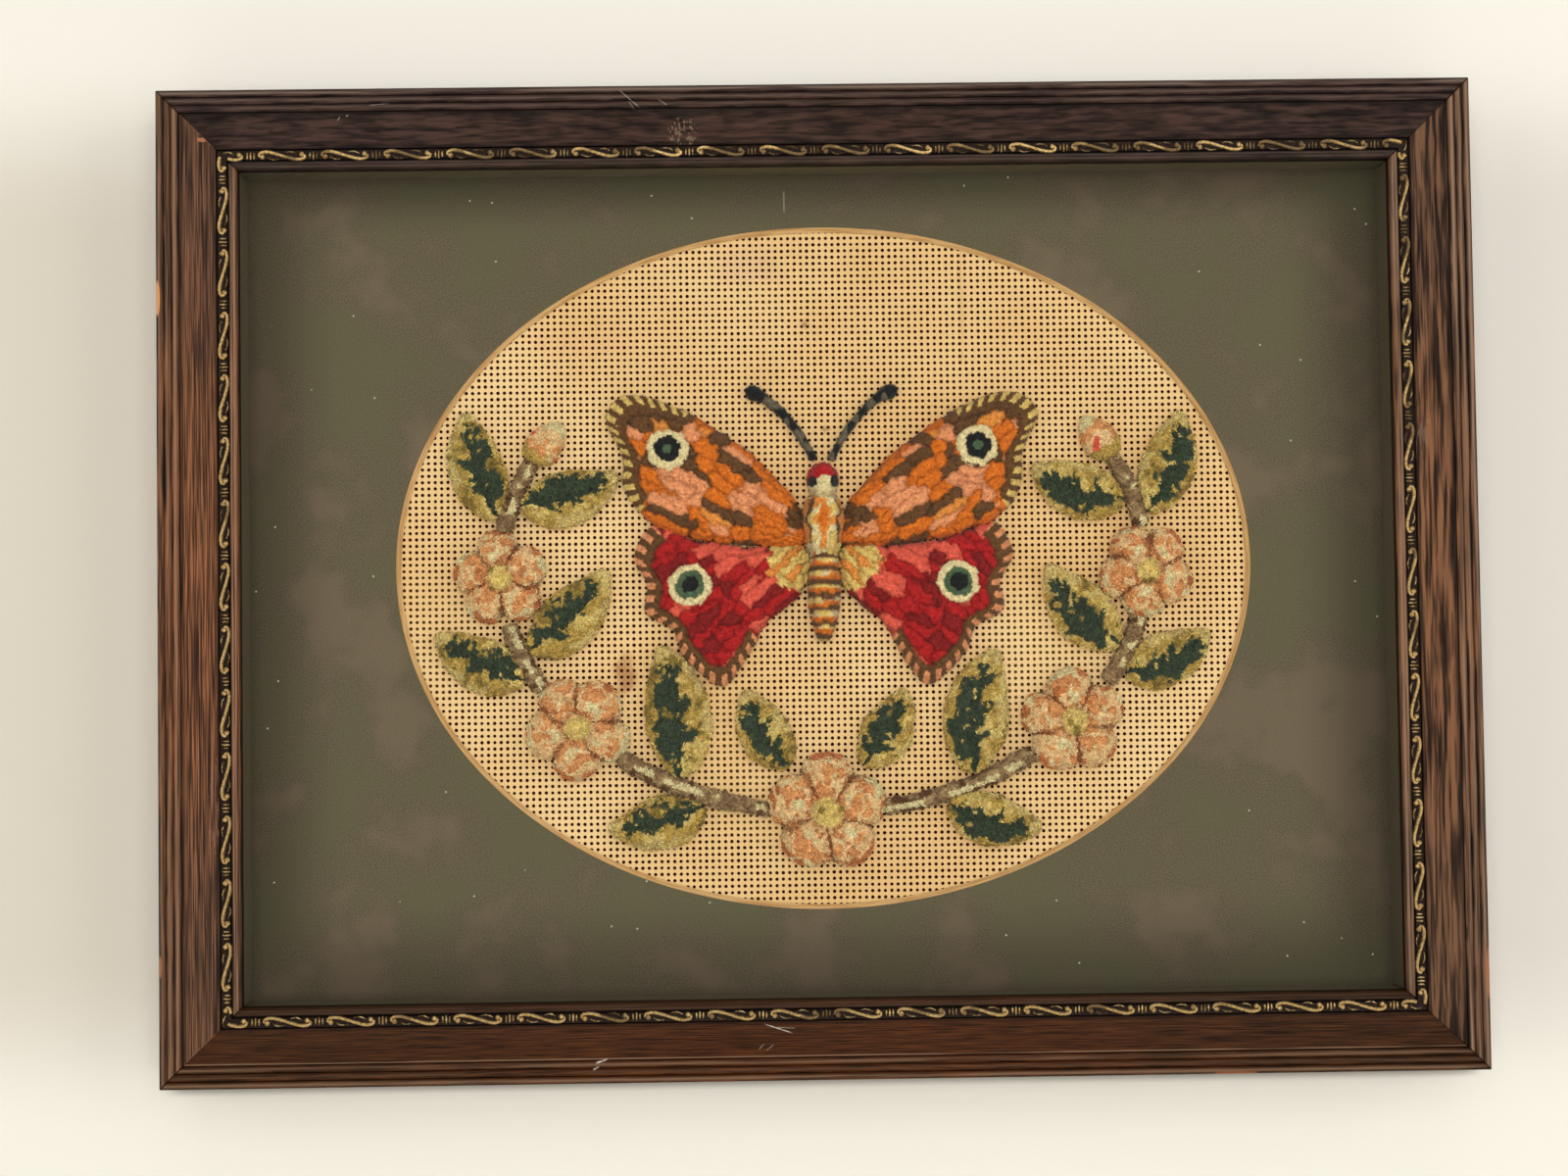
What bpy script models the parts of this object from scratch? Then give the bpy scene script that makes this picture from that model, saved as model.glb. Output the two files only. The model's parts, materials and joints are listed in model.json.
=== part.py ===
"""A framed stumpwork embroidery: raised wool motifs on punched card, in an oval mat behind glass.

X runs to the right, Z up, and Y back towards the wall, so the picture faces -Y. The origin is on the
flat back of the top rail, at its middle. Places on the picture are given from the centre of the frame.
"""

import math

import bmesh
import bpy
from mathutils import Vector

MM = 0.001
FIT = 0.3 * MM  # clear space between pieces that touch

# The frame, measured over its outer edges
WIDTH = 365 * MM
HEIGHT = 275 * MM
DEPTH = 29.5 * MM
RAIL_WIDTH = 21.3 * MM  # from the outer edge to the sight edge
REEDS_WIDTH = 6.3 * MM
REED_COUNT = 3
REED_STEPS = 4
REED_HEIGHT = 0.8 * MM
FLAT_START = 6.7 * MM
FLAT_START_DEPTH = 0.4 * MM
FLAT_END_DEPTH = 6.0 * MM
GROOVE_START = 15.4 * MM
GROOVE_WIDTH = 3.6 * MM
GROOVE_DEPTH = 7.7 * MM
LIP_TOP_DEPTH = 5.7 * MM
LIP_EDGE_DEPTH = 8.4 * MM
LIP_STEPS = 4
REBATE_DEPTH = 9.5 * MM
REBATE_WIDTH = 6.0 * MM
MITRE_GAP = 0.22 * MM  # taken off each rail along its length, so that two ends stand a fit apart

# The gilt ornament: long scrolls with a small knot between them
GILT_GROUND = 6.6 * MM
GILT_RELIEF = 0.8 * MM
GILT_PITCH = 17.5 * MM
SCROLL_SHARE = 0.74
GILT_SLOPE = 0.6 * MM

# What the rebate holds, from the front to the back
SHEET_CLEAR = 0.5 * MM  # from the edge of a sheet to the rebate's wall
GLASS_THICK = 2.0 * MM
FILLET_DEEP = 10.1 * MM
FILLET_WIDE = 5.0 * MM
MAT_THICK = 1.5 * MM
CARD_THICK = 0.5 * MM
BACKING_THICK = 3.0 * MM
GLASS_DEPTH = REBATE_DEPTH + FIT
FILLET_DEPTH = GLASS_DEPTH + GLASS_THICK + FIT
MAT_DEPTH = FILLET_DEPTH + FILLET_DEEP + FIT
CARD_DEPTH = MAT_DEPTH + MAT_THICK + FIT
BACKING_DEPTH = CARD_DEPTH + CARD_THICK + FIT
WOOL_DEPTH = CARD_DEPTH - FIT  # the back of every wool motif

# The oval opening of the mat
OVAL_X = 1.5 * MM
OVAL_Z = 4.3 * MM
OVAL_HALF_WIDTH = 121.9 * MM
OVAL_HALF_HEIGHT = 97.3 * MM
OVAL_BEVEL = 1.3 * MM
OVAL_STEPS = 64
CUTTER_OVERSHOOT = 1.0 * MM

# The wreath: both sprays follow one ellipse about the oval's centre
WREATH_HALF_WIDTH = 92 * MM
WREATH_HALF_HEIGHT = 70 * MM

STEM_HALF_WIDTH = 1.9 * MM
STEM_HEIGHT = 3.2 * MM
STEM_CREST = 1.1  # the middle's height as a share of the shoulders beside it
STEM_SECTIONS = 7
STEM_CLEAR = 0.6 * MM  # between a stem's end and the motif there
STEM_SEARCH = 0.1  # degrees

LEAF_HEIGHT = 5.0 * MM
LEAF_CREST = 0.82  # the vein lies lower than the leaf beside it
LEAF_SECTIONS = 8
LEAF_POINT = 0.7 * MM  # half the width of a leaf's blunt end
LEAF_CLEAR = 1.3 * MM  # between a leaf's point and its stem
LEAF_STRAIGHT = 0.2  # share of a leaf's length at which it heads as its row says
LEFT_LEAF_STRETCH = 1.05  # the left spray was worked a little longer than the right
LEFT_LEAF_SWING = math.radians(3)
LOW_LEAF_START = math.radians(52)  # above level, round the low flower
LOW_LEAF_CLEAR = 0.9 * MM
LOW_LEAF_LENGTH = 24 * MM
LOW_LEAF_HALF_WIDTH = 6.8 * MM
LOW_LEAF_BEND = math.radians(30)

FLOWER_HEIGHT = 7.0 * MM
FLOWER_PETALS = 5
FLOWER_NOTCH = 0.2  # how deep the notches between petals are, as a share of the radius
FLOWER_STEPS = 30
FLOWER_TURN = 0.4  # how far the side flowers are turned, in radians

BUD_ANGLE = 30  # degrees along the wreath
BUD_RADIUS = 5.5 * MM
BUD_POINT = 0.45  # how far the bud's point stands out, as a share of the radius
BUD_NARROW = 0.85
BUD_STEPS = 12

# The butterfly, from the oval's centre
BUTTERFLY_Z = 6 * MM
WING_HEIGHT = 7.5 * MM
BODY_HEIGHT = 9.6 * MM
ANTENNA_HEIGHT = 2.6 * MM
BODY_CREST = 1.15  # the middle's height as a share of the shoulders beside it
OUTLINE_STEPS = 4  # new points for each point of a wing's outline

# How uneven the hand-sheared wool is, and where its upright edge ends
LUMP_HEIGHT = 0.35 * MM
LUMP_LENGTH = 7.0 * MM
EDGE_RISE = 0.5

# share of the outline's size, share of the height
MOUND_LEVELS = (
    (1.0, 0.0),
    (1.0, 0.34),
    (0.93, 0.62),
    (0.76, 0.84),
    (0.45, 0.97),
    (0.12, 1.0),
)
# share of the half width, share of the height; the middle is the crest
RIDGE_SHOULDERS = (
    (-1.0, 0.0),
    (-1.0, 0.4),
    (-0.6, 1.0),
    (0.6, 1.0),
    (1.0, 0.4),
    (1.0, 0.0),
)
RIDGE_END_HEIGHT = 0.45  # height where the half width goes to nothing, as a share of the full height

# angle along the wreath in degrees, radius in mm
LOW_FLOWER = (-90, 16.5)
SIDE_FLOWER = (-40, 14.5)
HIGH_FLOWER = (-2, 13.0)

# name, angle along the wreath, swing from the stem in degrees (plus is inwards), length and half width
# in mm, and bend in degrees
LEAVES = (
    ("leaf_a", -68, -42, 26, 7.0, 34),
    ("leaf_b", -62, 66, 35, 8.8, -30),
    ("leaf_c", -25, -42, 26, 7.2, 30),
    ("leaf_d", -20, 76, 29, 7.8, -30),
    ("leaf_e", 12, -42, 29, 7.4, 24),
    ("leaf_f", 16, 58, 27, 7.4, -32),
)

# Outlines of the right wings, x and z in mm from the butterfly's centre
FOREWING = (
    (7.5, 10.0),
    (19.0, 25.0),
    (38.0, 38.0),
    (54.5, 43.0),
    (61.5, 37.0),
    (57.0, 27.0),
    (56.0, 17.0),
    (50.0, 8.5),
    (38.0, 3.4),
    (20.0, 0.9),
    (7.0, 0.6),
)
HINDWING = (
    (7.0, -1.2),
    (20.0, -1.4),
    (37.0, 0.8),
    (48.5, 4.6),
    (53.5, -3.0),
    (50.0, -10.5),
    (50.5, -18.5),
    (43.0, -23.5),
    (39.5, -31.5),
    (30.0, -39.5),
    (24.0, -34.0),
    (16.5, -22.0),
    (7.2, -12.0),
)
FOREWING_CENTRE = (34.0, 18.0)
HINDWING_CENTRE = (30.0, -14.0)

# height up the body and half width there, in mm
BODY_SECTIONS = (
    (-27.0, 1.0),
    (-22.5, 3.0),
    (-13.0, 4.4),
    (-4.5, 3.8),
    (1.0, 4.7),
    (7.0, 5.7),
    (12.5, 4.6),
    (15.0, 3.4),
    (18.5, 4.3),
    (21.5, 3.4),
    (23.0, 1.2),
)
# x and z in mm along the right antenna, with its half width
ANTENNA_SECTIONS = (
    (2.4, 24.6, 0.9),
    (6.0, 31.0, 0.9),
    (10.5, 37.0, 0.9),
    (16.0, 42.0, 1.2),
    (19.5, 43.8, 2.0),
    (21.5, 44.3, 0.9),
)

# name, red, green, blue, roughness and metallic
FINISHES = {
    "oak": (0.12, 0.06, 0.035, 0.4, 0.0),
    "gilt": (0.5, 0.34, 0.12, 0.35, 0.8),
    "glass": (0.85, 0.9, 0.88, 0.05, 0.0),
    "olive_board": (0.11, 0.1, 0.06, 0.9, 0.0),
    "card": (0.85, 0.62, 0.26, 0.7, 0.0),
    "backing": (0.32, 0.2, 0.1, 0.9, 0.0),
    "wool_orange": (0.6, 0.17, 0.04, 0.95, 0.0),
    "wool_red": (0.45, 0.03, 0.03, 0.95, 0.0),
    "wool_cream": (0.75, 0.6, 0.3, 0.95, 0.0),
    "wool_dark": (0.03, 0.03, 0.03, 0.95, 0.0),
    "wool_pink": (0.75, 0.35, 0.2, 0.95, 0.0),
    "wool_green": (0.3, 0.24, 0.08, 0.95, 0.0),
    "wool_brown": (0.22, 0.13, 0.07, 0.95, 0.0),
}

CENTRE_Z = (RAIL_WIDTH - REBATE_WIDTH) / 2 - HEIGHT / 2


def clear_scene():
    for old in list(bpy.data.objects):
        bpy.data.objects.remove(old)


def make_material(name):
    red, green, blue, roughness, metallic = FINISHES[name]
    material = bpy.data.materials.new(name)
    material.use_nodes = True
    shader = material.node_tree.nodes["Principled BSDF"]
    shader.inputs["Base Color"].default_value = (red, green, blue, 1)
    shader.inputs["Roughness"].default_value = roughness
    shader.inputs["Metallic"].default_value = metallic
    return material


def at(x, z, depth):
    """A point of the picture, from the frame's centre and its front plane."""
    return Vector((x, depth - DEPTH, CENTRE_Z + z))


def add_object(name, shape, finish):
    """Make an object from a bmesh, with its faces turned outwards."""
    bmesh.ops.recalc_face_normals(shape, faces=shape.faces)
    mesh = bpy.data.meshes.new(name)
    shape.to_mesh(mesh)
    shape.free()
    mesh.materials.append(bpy.data.materials[finish])
    made = bpy.data.objects.new(name, mesh)
    bpy.context.scene.collection.objects.link(made)
    return made


def loft(name, loops, finish):
    """A solid through closed loops of equally many points, with both ends capped."""
    shape = bmesh.new()
    rows = [[shape.verts.new(point) for point in loop] for loop in loops]
    for row, following in zip(rows, rows[1:]):
        for i in range(len(row)):
            j = (i + 1) % len(row)
            shape.faces.new((row[i], row[j], following[j], following[i]))
    shape.faces.new(rows[0])
    shape.faces.new(rows[-1])
    return add_object(name, shape, finish)


def board(name, half_width, half_height, depth, thick, finish, centre=(0, 0)):
    """A flat board, parallel to the wall."""
    shape = bmesh.new()
    bmesh.ops.create_cube(shape, size=1)
    bmesh.ops.scale(shape, vec=(2 * half_width, thick, 2 * half_height), verts=shape.verts)
    bmesh.ops.translate(shape, vec=at(centre[0], centre[1], depth + thick / 2), verts=shape.verts)
    return add_object(name, shape, finish)


# The frame


def on_side(side, along, inset, depth):
    """A point of one side of the frame, from its middle, its outer edge and the front plane."""
    across = HEIGHT / 2 - inset
    sideways = WIDTH / 2 - inset
    if side == "top":
        return at(along, across, depth)
    if side == "right":
        return at(sideways, -along, depth)
    if side == "bottom":
        return at(-along, -across, depth)
    return at(-sideways, along, depth)


def half_length(side):
    return WIDTH / 2 if side in ("top", "bottom") else HEIGHT / 2


def rail_profile():
    """The moulding's outline as inset and depth, from the outer back edge round to the rebate."""
    points = [(0, DEPTH)]
    reed = REEDS_WIDTH / REED_COUNT
    for number in range(REED_COUNT):
        for step in range(REED_STEPS):
            turn = math.pi * step / REED_STEPS
            inset = reed * (number + (1 - math.cos(turn)) / 2)
            points.append((inset, REED_HEIGHT * (1 - math.sin(turn))))
    points.append((REEDS_WIDTH, REED_HEIGHT))
    points.append((FLAT_START, FLAT_START_DEPTH))
    points.append((GROOVE_START, FLAT_END_DEPTH))
    points.append((GROOVE_START, GROOVE_DEPTH))
    lip = GROOVE_START + GROOVE_WIDTH
    points.append((lip, GROOVE_DEPTH))
    for step in range(LIP_STEPS + 1):
        turn = math.pi / 2 * step / LIP_STEPS
        inset = lip + (RAIL_WIDTH - lip) * math.sin(turn)
        points.append((inset, LIP_TOP_DEPTH + (LIP_EDGE_DEPTH - LIP_TOP_DEPTH) * (1 - math.cos(turn))))
    points.append((RAIL_WIDTH, REBATE_DEPTH))
    points.append((RAIL_WIDTH - REBATE_WIDTH, REBATE_DEPTH))
    points.append((RAIL_WIDTH - REBATE_WIDTH, DEPTH))
    return points


def add_rail(side):
    profile = rail_profile()
    loops = []
    for end in (-1, 1):
        reach = half_length(side) - MITRE_GAP
        loops.append([on_side(side, end * (reach - inset), inset, depth) for inset, depth in profile])
    loft("rail_" + side, loops, "oak")


def gilt_stations(reach):
    """Places along a gilt strip with the height of the ornament there: a scroll, then a knot."""
    count = int(2 * reach / GILT_PITCH)
    start = -count * GILT_PITCH / 2
    stations = []
    for number in range(count):
        scroll = start + number * GILT_PITCH
        scroll_end = scroll + SCROLL_SHARE * GILT_PITCH
        stations.append((scroll, 0))
        stations.append((scroll + GILT_SLOPE, GILT_RELIEF))
        stations.append((scroll_end - GILT_SLOPE, GILT_RELIEF))
        stations.append((scroll_end, 0))
        stations.append(((scroll_end + scroll + GILT_PITCH) / 2, GILT_RELIEF))
    return stations


def add_gilt_strip(side):
    outer = GROOVE_START + FIT
    inner = GROOVE_START + GROOVE_WIDTH - FIT
    back = GROOVE_DEPTH - FIT

    def section(place, rise):
        front = GILT_GROUND - rise
        corners = ((outer, back), (outer, front), (inner, front), (inner, back))
        return [on_side(side, place(inset), inset, depth) for inset, depth in corners]

    reach = half_length(side) - MITRE_GAP
    loops = [section(lambda inset: -(reach - inset), 0)]
    for along, rise in gilt_stations(reach - inner - GILT_SLOPE):
        loops.append(section(lambda inset, along=along: along, rise))
    loops.append(section(lambda inset: reach - inset, 0))
    loft("gilt_strip_" + side, loops, "gilt")


def add_frame():
    for side in ("top", "right", "bottom", "left"):
        add_rail(side)
        add_gilt_strip(side)


# What lies in the rebate


def add_glazing():
    half_width = WIDTH / 2 - (RAIL_WIDTH - REBATE_WIDTH) - SHEET_CLEAR
    half_height = HEIGHT / 2 - (RAIL_WIDTH - REBATE_WIDTH) - SHEET_CLEAR
    board("glass", half_width, half_height, GLASS_DEPTH, GLASS_THICK, "glass")
    board("perforated_card", half_width, half_height, CARD_DEPTH, CARD_THICK, "card")
    board("backing_board", half_width, half_height, BACKING_DEPTH, BACKING_THICK, "backing")
    add_fillets(half_width, half_height)
    add_mat(half_width, half_height)


def add_fillets(half_width, half_height):
    """Bars round the edge that keep the glass off the wool: long ones above and below, short ones between."""
    half = FILLET_WIDE / 2
    short = half_height - FILLET_WIDE - FIT
    for name, sign in (("top", 1), ("bottom", -1)):
        place = (0, sign * (half_height - half))
        board("fillet_" + name, half_width, half, FILLET_DEPTH, FILLET_DEEP, "olive_board", place)
    for name, sign in (("right", 1), ("left", -1)):
        place = (sign * (half_width - half), 0)
        board("fillet_" + name, half, short, FILLET_DEPTH, FILLET_DEEP, "olive_board", place)


def add_mat(half_width, half_height):
    """The mat board, with a bevelled oval cut through it."""
    mat = board("mat", half_width, half_height, MAT_DEPTH, MAT_THICK, "olive_board")
    slope = OVAL_BEVEL / MAT_THICK
    loops = []
    for depth in (-CUTTER_OVERSHOOT, MAT_THICK + CUTTER_OVERSHOOT):
        loop = []
        for step in range(OVAL_STEPS):
            turn = 2 * math.pi * step / OVAL_STEPS
            x = OVAL_X + (OVAL_HALF_WIDTH - slope * depth) * math.cos(turn)
            z = OVAL_Z + (OVAL_HALF_HEIGHT - slope * depth) * math.sin(turn)
            loop.append(at(x, z, MAT_DEPTH + depth))
        loops.append(loop)
    cutter = loft("oval_cutter", loops, "olive_board")
    cutter.hide_render = True
    cutter.display_type = "WIRE"
    cut = mat.modifiers.new("oval", "BOOLEAN")
    cut.operation = "DIFFERENCE"
    cut.object = cutter


# Wool worked on the card


def lump(x, z):
    """How far the sheared wool stands above or below its even height."""
    wave = math.sin(2 * math.pi * x / LUMP_LENGTH) * math.cos(2 * math.pi * z / LUMP_LENGTH + 1)
    return LUMP_HEIGHT * wave


def on_card(x, z, height):
    """A point of the wool, from the oval's centre and from the back of the wool."""
    return at(OVAL_X + x, OVAL_Z + z, WOOL_DEPTH - height)


def mound(name, outline, centre, height, finish):
    """A raised, round-edged form over an outline, highest over its centre."""
    loops = []
    for size, rise in MOUND_LEVELS:
        loop = []
        for x, z in outline:
            px = centre[0] + size * (x - centre[0])
            pz = centre[1] + size * (z - centre[1])
            uneven = lump(px, pz) if rise > EDGE_RISE else 0
            loop.append(on_card(px, pz, rise * height + uneven))
        loops.append(loop)
    return loft(name, loops, finish)


def ridge(name, sections, height, crest, finish):
    """A raised form along a line of sections, each a place, a direction and a half width.

    The crest is the height along the middle as a share of the height of the shoulders beside it.
    """
    half = len(RIDGE_SHOULDERS) // 2
    across = RIDGE_SHOULDERS[:half] + ((0, crest),) + RIDGE_SHOULDERS[half:]
    widest = max(half_width for _, _, half_width in sections)
    loops = []
    for place, direction, half_width in sections:
        side = Vector((direction.y, -direction.x))
        low = RIDGE_END_HEIGHT + (1 - RIDGE_END_HEIGHT) * math.sqrt(half_width / widest)
        loop = []
        for share, rise in across:
            point = place + side * half_width * share
            uneven = lump(point.x, point.y) if rise > EDGE_RISE else 0
            loop.append(on_card(point.x, point.y, (rise * height + uneven) * low))
        loops.append(loop)
    return loft(name, loops, finish)


def directed(points):
    """Sections along a line of places and half widths, each with its direction."""
    sections = []
    for i, (place, half_width) in enumerate(points):
        before = points[max(i - 1, 0)][0]
        after = points[min(i + 1, len(points) - 1)][0]
        sections.append((place, (after - before).normalized(), half_width))
    return sections


def smooth_outline(points, steps, mirror=1, shift=(0, 0)):
    """A closed smooth curve through an outline's points, given in mm."""
    count = len(points)
    curve = []
    for i in range(count):
        p0, p1, p2, p3 = (Vector(points[(i + k - 1) % count]) for k in range(4))
        for step in range(steps):
            t = step / steps
            p = p1 + 0.5 * t * (p2 - p0 + t * (2 * p0 - 5 * p1 + 4 * p2 - p3 + t * (3 * (p1 - p2) + p3 - p0)))
            curve.append((mirror * p.x * MM + shift[0], p.y * MM + shift[1]))
    return curve


def wreath_point(degrees, mirror):
    turn = math.radians(degrees)
    return Vector((mirror * WREATH_HALF_WIDTH * math.cos(turn), WREATH_HALF_HEIGHT * math.sin(turn)))


def wreath_direction(degrees, mirror):
    turn = math.radians(degrees)
    run = Vector((-mirror * WREATH_HALF_WIDTH * math.sin(turn), WREATH_HALF_HEIGHT * math.cos(turn)))
    return run.normalized()


def add_flower(name, flower, mirror, tilt):
    """A round flower with shallow notches between its petals."""
    degrees, radius = flower
    centre = wreath_point(degrees, mirror)
    outline = []
    for step in range(FLOWER_STEPS):
        turn = 2 * math.pi * step / FLOWER_STEPS
        petal = abs(math.cos(FLOWER_PETALS / 2 * (turn - tilt)))
        reach = radius * MM * (1 - FLOWER_NOTCH * (1 - petal))
        outline.append((centre.x + reach * math.cos(turn), centre.y + reach * math.sin(turn)))
    mound(name, outline, centre, FLOWER_HEIGHT, "wool_pink")


def add_bud(name, mirror):
    """A drop-shaped bud, its point along the stem."""
    centre = wreath_point(BUD_ANGLE, mirror)
    direction = wreath_direction(BUD_ANGLE, mirror)
    sideways = Vector((direction.y, -direction.x)) * BUD_NARROW
    outline = []
    for step in range(BUD_STEPS):
        turn = 2 * math.pi * step / BUD_STEPS
        along = math.cos(turn) * (1 + BUD_POINT * max(0, math.cos(turn)) ** 3)
        point = centre + BUD_RADIUS * (direction * along + sideways * math.sin(turn))
        outline.append((point.x, point.y))
    mound(name, outline, centre, LEAF_HEIGHT, "wool_pink")


def clear_angle(degrees, radius, way):
    """The angle along the wreath, on one way from a motif, at which the stem stands clear of it."""
    centre = wreath_point(degrees, 1)
    angle = degrees
    while (wreath_point(angle, 1) - centre).length < radius * MM + STEM_CLEAR:
        angle = angle + way * STEM_SEARCH
    return angle


def add_stem(name, start, end, mirror):
    """A stem between two motifs, each an angle and a radius."""
    first = clear_angle(*start, 1)
    last = clear_angle(*end, -1)
    points = []
    for step in range(STEM_SECTIONS):
        degrees = first + (last - first) * step / (STEM_SECTIONS - 1)
        points.append((wreath_point(degrees, mirror), STEM_HALF_WIDTH))
    ridge(name, directed(points), STEM_HEIGHT, STEM_CREST, "wool_brown")


def leaf_half_width(share):
    """A leaf's half width as a share of its widest, a share of the way along it."""
    return math.sin(math.pi * (0.04 + 0.94 * share**0.85)) ** 0.8


def add_leaf(name, place, heading, mirror, length, half_width, bend):
    """A curved leaf, widest a little below its middle. The heading is the right-hand leaf's."""
    points = []
    for step in range(LEAF_SECTIONS):
        share = step / (LEAF_SECTIONS - 1)
        width = half_width * leaf_half_width(share)
        points.append((place.copy(), max(width, LEAF_POINT)))
        angle = heading + bend * (share - LEAF_STRAIGHT)
        place = place + Vector((mirror * math.cos(angle), math.sin(angle))) * length / (LEAF_SECTIONS - 1)
    ridge(name, directed(points), LEAF_HEIGHT, LEAF_CREST, "wool_green")


def add_stem_leaf(name, row, mirror):
    """A leaf that starts beside the wreath's stem."""
    _, degrees, swing, length, half_width, bend = row
    stretch = LEFT_LEAF_STRETCH if mirror < 0 else 1
    turn = math.radians(swing) + (LEFT_LEAF_SWING if mirror < 0 else 0)
    run = wreath_direction(degrees, 1)
    inwards = Vector((-run.y, run.x)) * math.copysign(STEM_HALF_WIDTH + LEAF_CLEAR, swing)
    place = wreath_point(degrees, 1) + inwards
    place.x = mirror * place.x
    heading = math.atan2(run.y, run.x) + turn
    add_leaf(name, place, heading, mirror, length * MM * stretch, half_width * MM, math.radians(bend))


def add_low_leaf(name, mirror):
    """A leaf that rises beside the low flower, under the butterfly."""
    degrees, radius = LOW_FLOWER
    reach = radius * MM + LOW_LEAF_CLEAR
    outwards = Vector((mirror * math.cos(LOW_LEAF_START), math.sin(LOW_LEAF_START)))
    place = wreath_point(degrees, 1) + outwards * reach
    add_leaf(name, place, LOW_LEAF_START, mirror, LOW_LEAF_LENGTH, LOW_LEAF_HALF_WIDTH, LOW_LEAF_BEND)


def add_wreath():
    add_flower("flower_low", LOW_FLOWER, 1, math.pi / 2)
    for side, mirror in (("_right", 1), ("_left", -1)):
        add_flower("flower_side" + side, SIDE_FLOWER, mirror, mirror * FLOWER_TURN)
        add_flower("flower_high" + side, HIGH_FLOWER, mirror, -mirror * FLOWER_TURN)
        add_bud("bud" + side, mirror)
        add_stem("stem_low" + side, LOW_FLOWER, SIDE_FLOWER, mirror)
        add_stem("stem_middle" + side, SIDE_FLOWER, HIGH_FLOWER, mirror)
        add_stem("stem_high" + side, HIGH_FLOWER, (BUD_ANGLE, BUD_RADIUS / MM), mirror)
        for row in LEAVES:
            add_stem_leaf(row[0] + side, row, mirror)
        add_low_leaf("leaf_low" + side, mirror)


def add_wing(name, outline, centre, mirror, finish):
    curve = smooth_outline(outline, OUTLINE_STEPS, mirror, (0, BUTTERFLY_Z))
    middle = (mirror * centre[0] * MM, centre[1] * MM + BUTTERFLY_Z)
    mound(name, curve, middle, WING_HEIGHT, finish)


def add_antenna(name, mirror):
    points = []
    for x, z, half_width in ANTENNA_SECTIONS:
        points.append((Vector((mirror * x * MM, z * MM + BUTTERFLY_Z)), half_width * MM))
    ridge(name, directed(points), ANTENNA_HEIGHT, BODY_CREST, "wool_dark")


def add_butterfly():
    for side, mirror in (("_right", 1), ("_left", -1)):
        add_wing("forewing" + side, FOREWING, FOREWING_CENTRE, mirror, "wool_orange")
        add_wing("hindwing" + side, HINDWING, HINDWING_CENTRE, mirror, "wool_red")
        add_antenna("antenna" + side, mirror)
    points = [(Vector((0, z * MM + BUTTERFLY_Z)), half_width * MM) for z, half_width in BODY_SECTIONS]
    ridge("butterfly_body", directed(points), BODY_HEIGHT, BODY_CREST, "wool_cream")


def main():
    clear_scene()
    for name in FINISHES:
        make_material(name)
    add_frame()
    add_glazing()
    add_wreath()
    add_butterfly()


main()
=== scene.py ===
"""The looks of a framed stumpwork embroidery: oak frame, gilt ornament, glass, mat, punched card and wool.

X runs to the right, Z up and Y back into the wall, in metres. Places on the picture are given from the
centre of the frame, or of the oval, and depths from the frame's front plane. Colours are in parts of 255,
but those of the glass and the lights are in shares of 1.
"""

import json
import math

import bmesh
import bpy
import numpy as np
from mathutils import Matrix, Vector
from mathutils.geometry import delaunay_2d_cdt

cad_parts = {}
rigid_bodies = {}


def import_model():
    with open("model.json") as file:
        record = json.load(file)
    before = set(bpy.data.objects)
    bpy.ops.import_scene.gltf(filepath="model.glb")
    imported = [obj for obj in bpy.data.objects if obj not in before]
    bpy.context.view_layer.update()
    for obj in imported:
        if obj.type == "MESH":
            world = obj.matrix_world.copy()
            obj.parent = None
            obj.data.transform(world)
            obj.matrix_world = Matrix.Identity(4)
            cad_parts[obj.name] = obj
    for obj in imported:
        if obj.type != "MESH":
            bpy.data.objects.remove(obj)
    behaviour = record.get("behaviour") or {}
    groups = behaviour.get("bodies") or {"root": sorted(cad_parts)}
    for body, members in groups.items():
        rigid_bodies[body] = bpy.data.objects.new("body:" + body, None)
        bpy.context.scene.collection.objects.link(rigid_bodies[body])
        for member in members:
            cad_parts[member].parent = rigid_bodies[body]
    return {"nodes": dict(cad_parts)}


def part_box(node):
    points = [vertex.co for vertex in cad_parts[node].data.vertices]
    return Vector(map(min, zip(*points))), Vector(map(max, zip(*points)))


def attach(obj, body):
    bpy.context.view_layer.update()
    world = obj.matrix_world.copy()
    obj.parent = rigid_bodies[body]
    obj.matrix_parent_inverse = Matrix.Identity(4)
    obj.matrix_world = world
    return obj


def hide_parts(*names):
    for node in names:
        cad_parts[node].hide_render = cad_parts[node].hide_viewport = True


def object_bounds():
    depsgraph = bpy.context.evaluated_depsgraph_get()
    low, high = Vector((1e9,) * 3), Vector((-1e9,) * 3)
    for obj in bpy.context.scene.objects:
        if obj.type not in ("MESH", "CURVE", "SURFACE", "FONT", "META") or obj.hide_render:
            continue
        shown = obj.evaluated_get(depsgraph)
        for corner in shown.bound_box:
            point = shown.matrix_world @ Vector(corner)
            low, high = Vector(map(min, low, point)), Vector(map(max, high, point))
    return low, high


for old in list(bpy.data.objects):
    bpy.data.objects.remove(old)

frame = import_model()
CAD_LOW, CAD_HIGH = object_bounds()

MM = 0.001

# The frame's own sizes
DEPTH = CAD_HIGH.y - CAD_LOW.y
CENTRE_Z = (CAD_LOW.z + CAD_HIGH.z) / 2
MIDDLE = {"X": 0.0, "Z": CENTRE_Z}
HALF_SIZE = {"X": (CAD_HIGH.x - CAD_LOW.x) / 2, "Z": (CAD_HIGH.z - CAD_LOW.z) / 2}
# The axis across each side, and which way the side lies on it
SIDE_WAYS = {"top": ("Z", 1), "right": ("X", 1), "bottom": ("Z", -1), "left": ("X", -1)}
MITRE_GAP = 0.01 * MM
SEAM_WIDTH = 0.3 * MM
SEAM_DEPTH = 0.3 * MM

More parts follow.
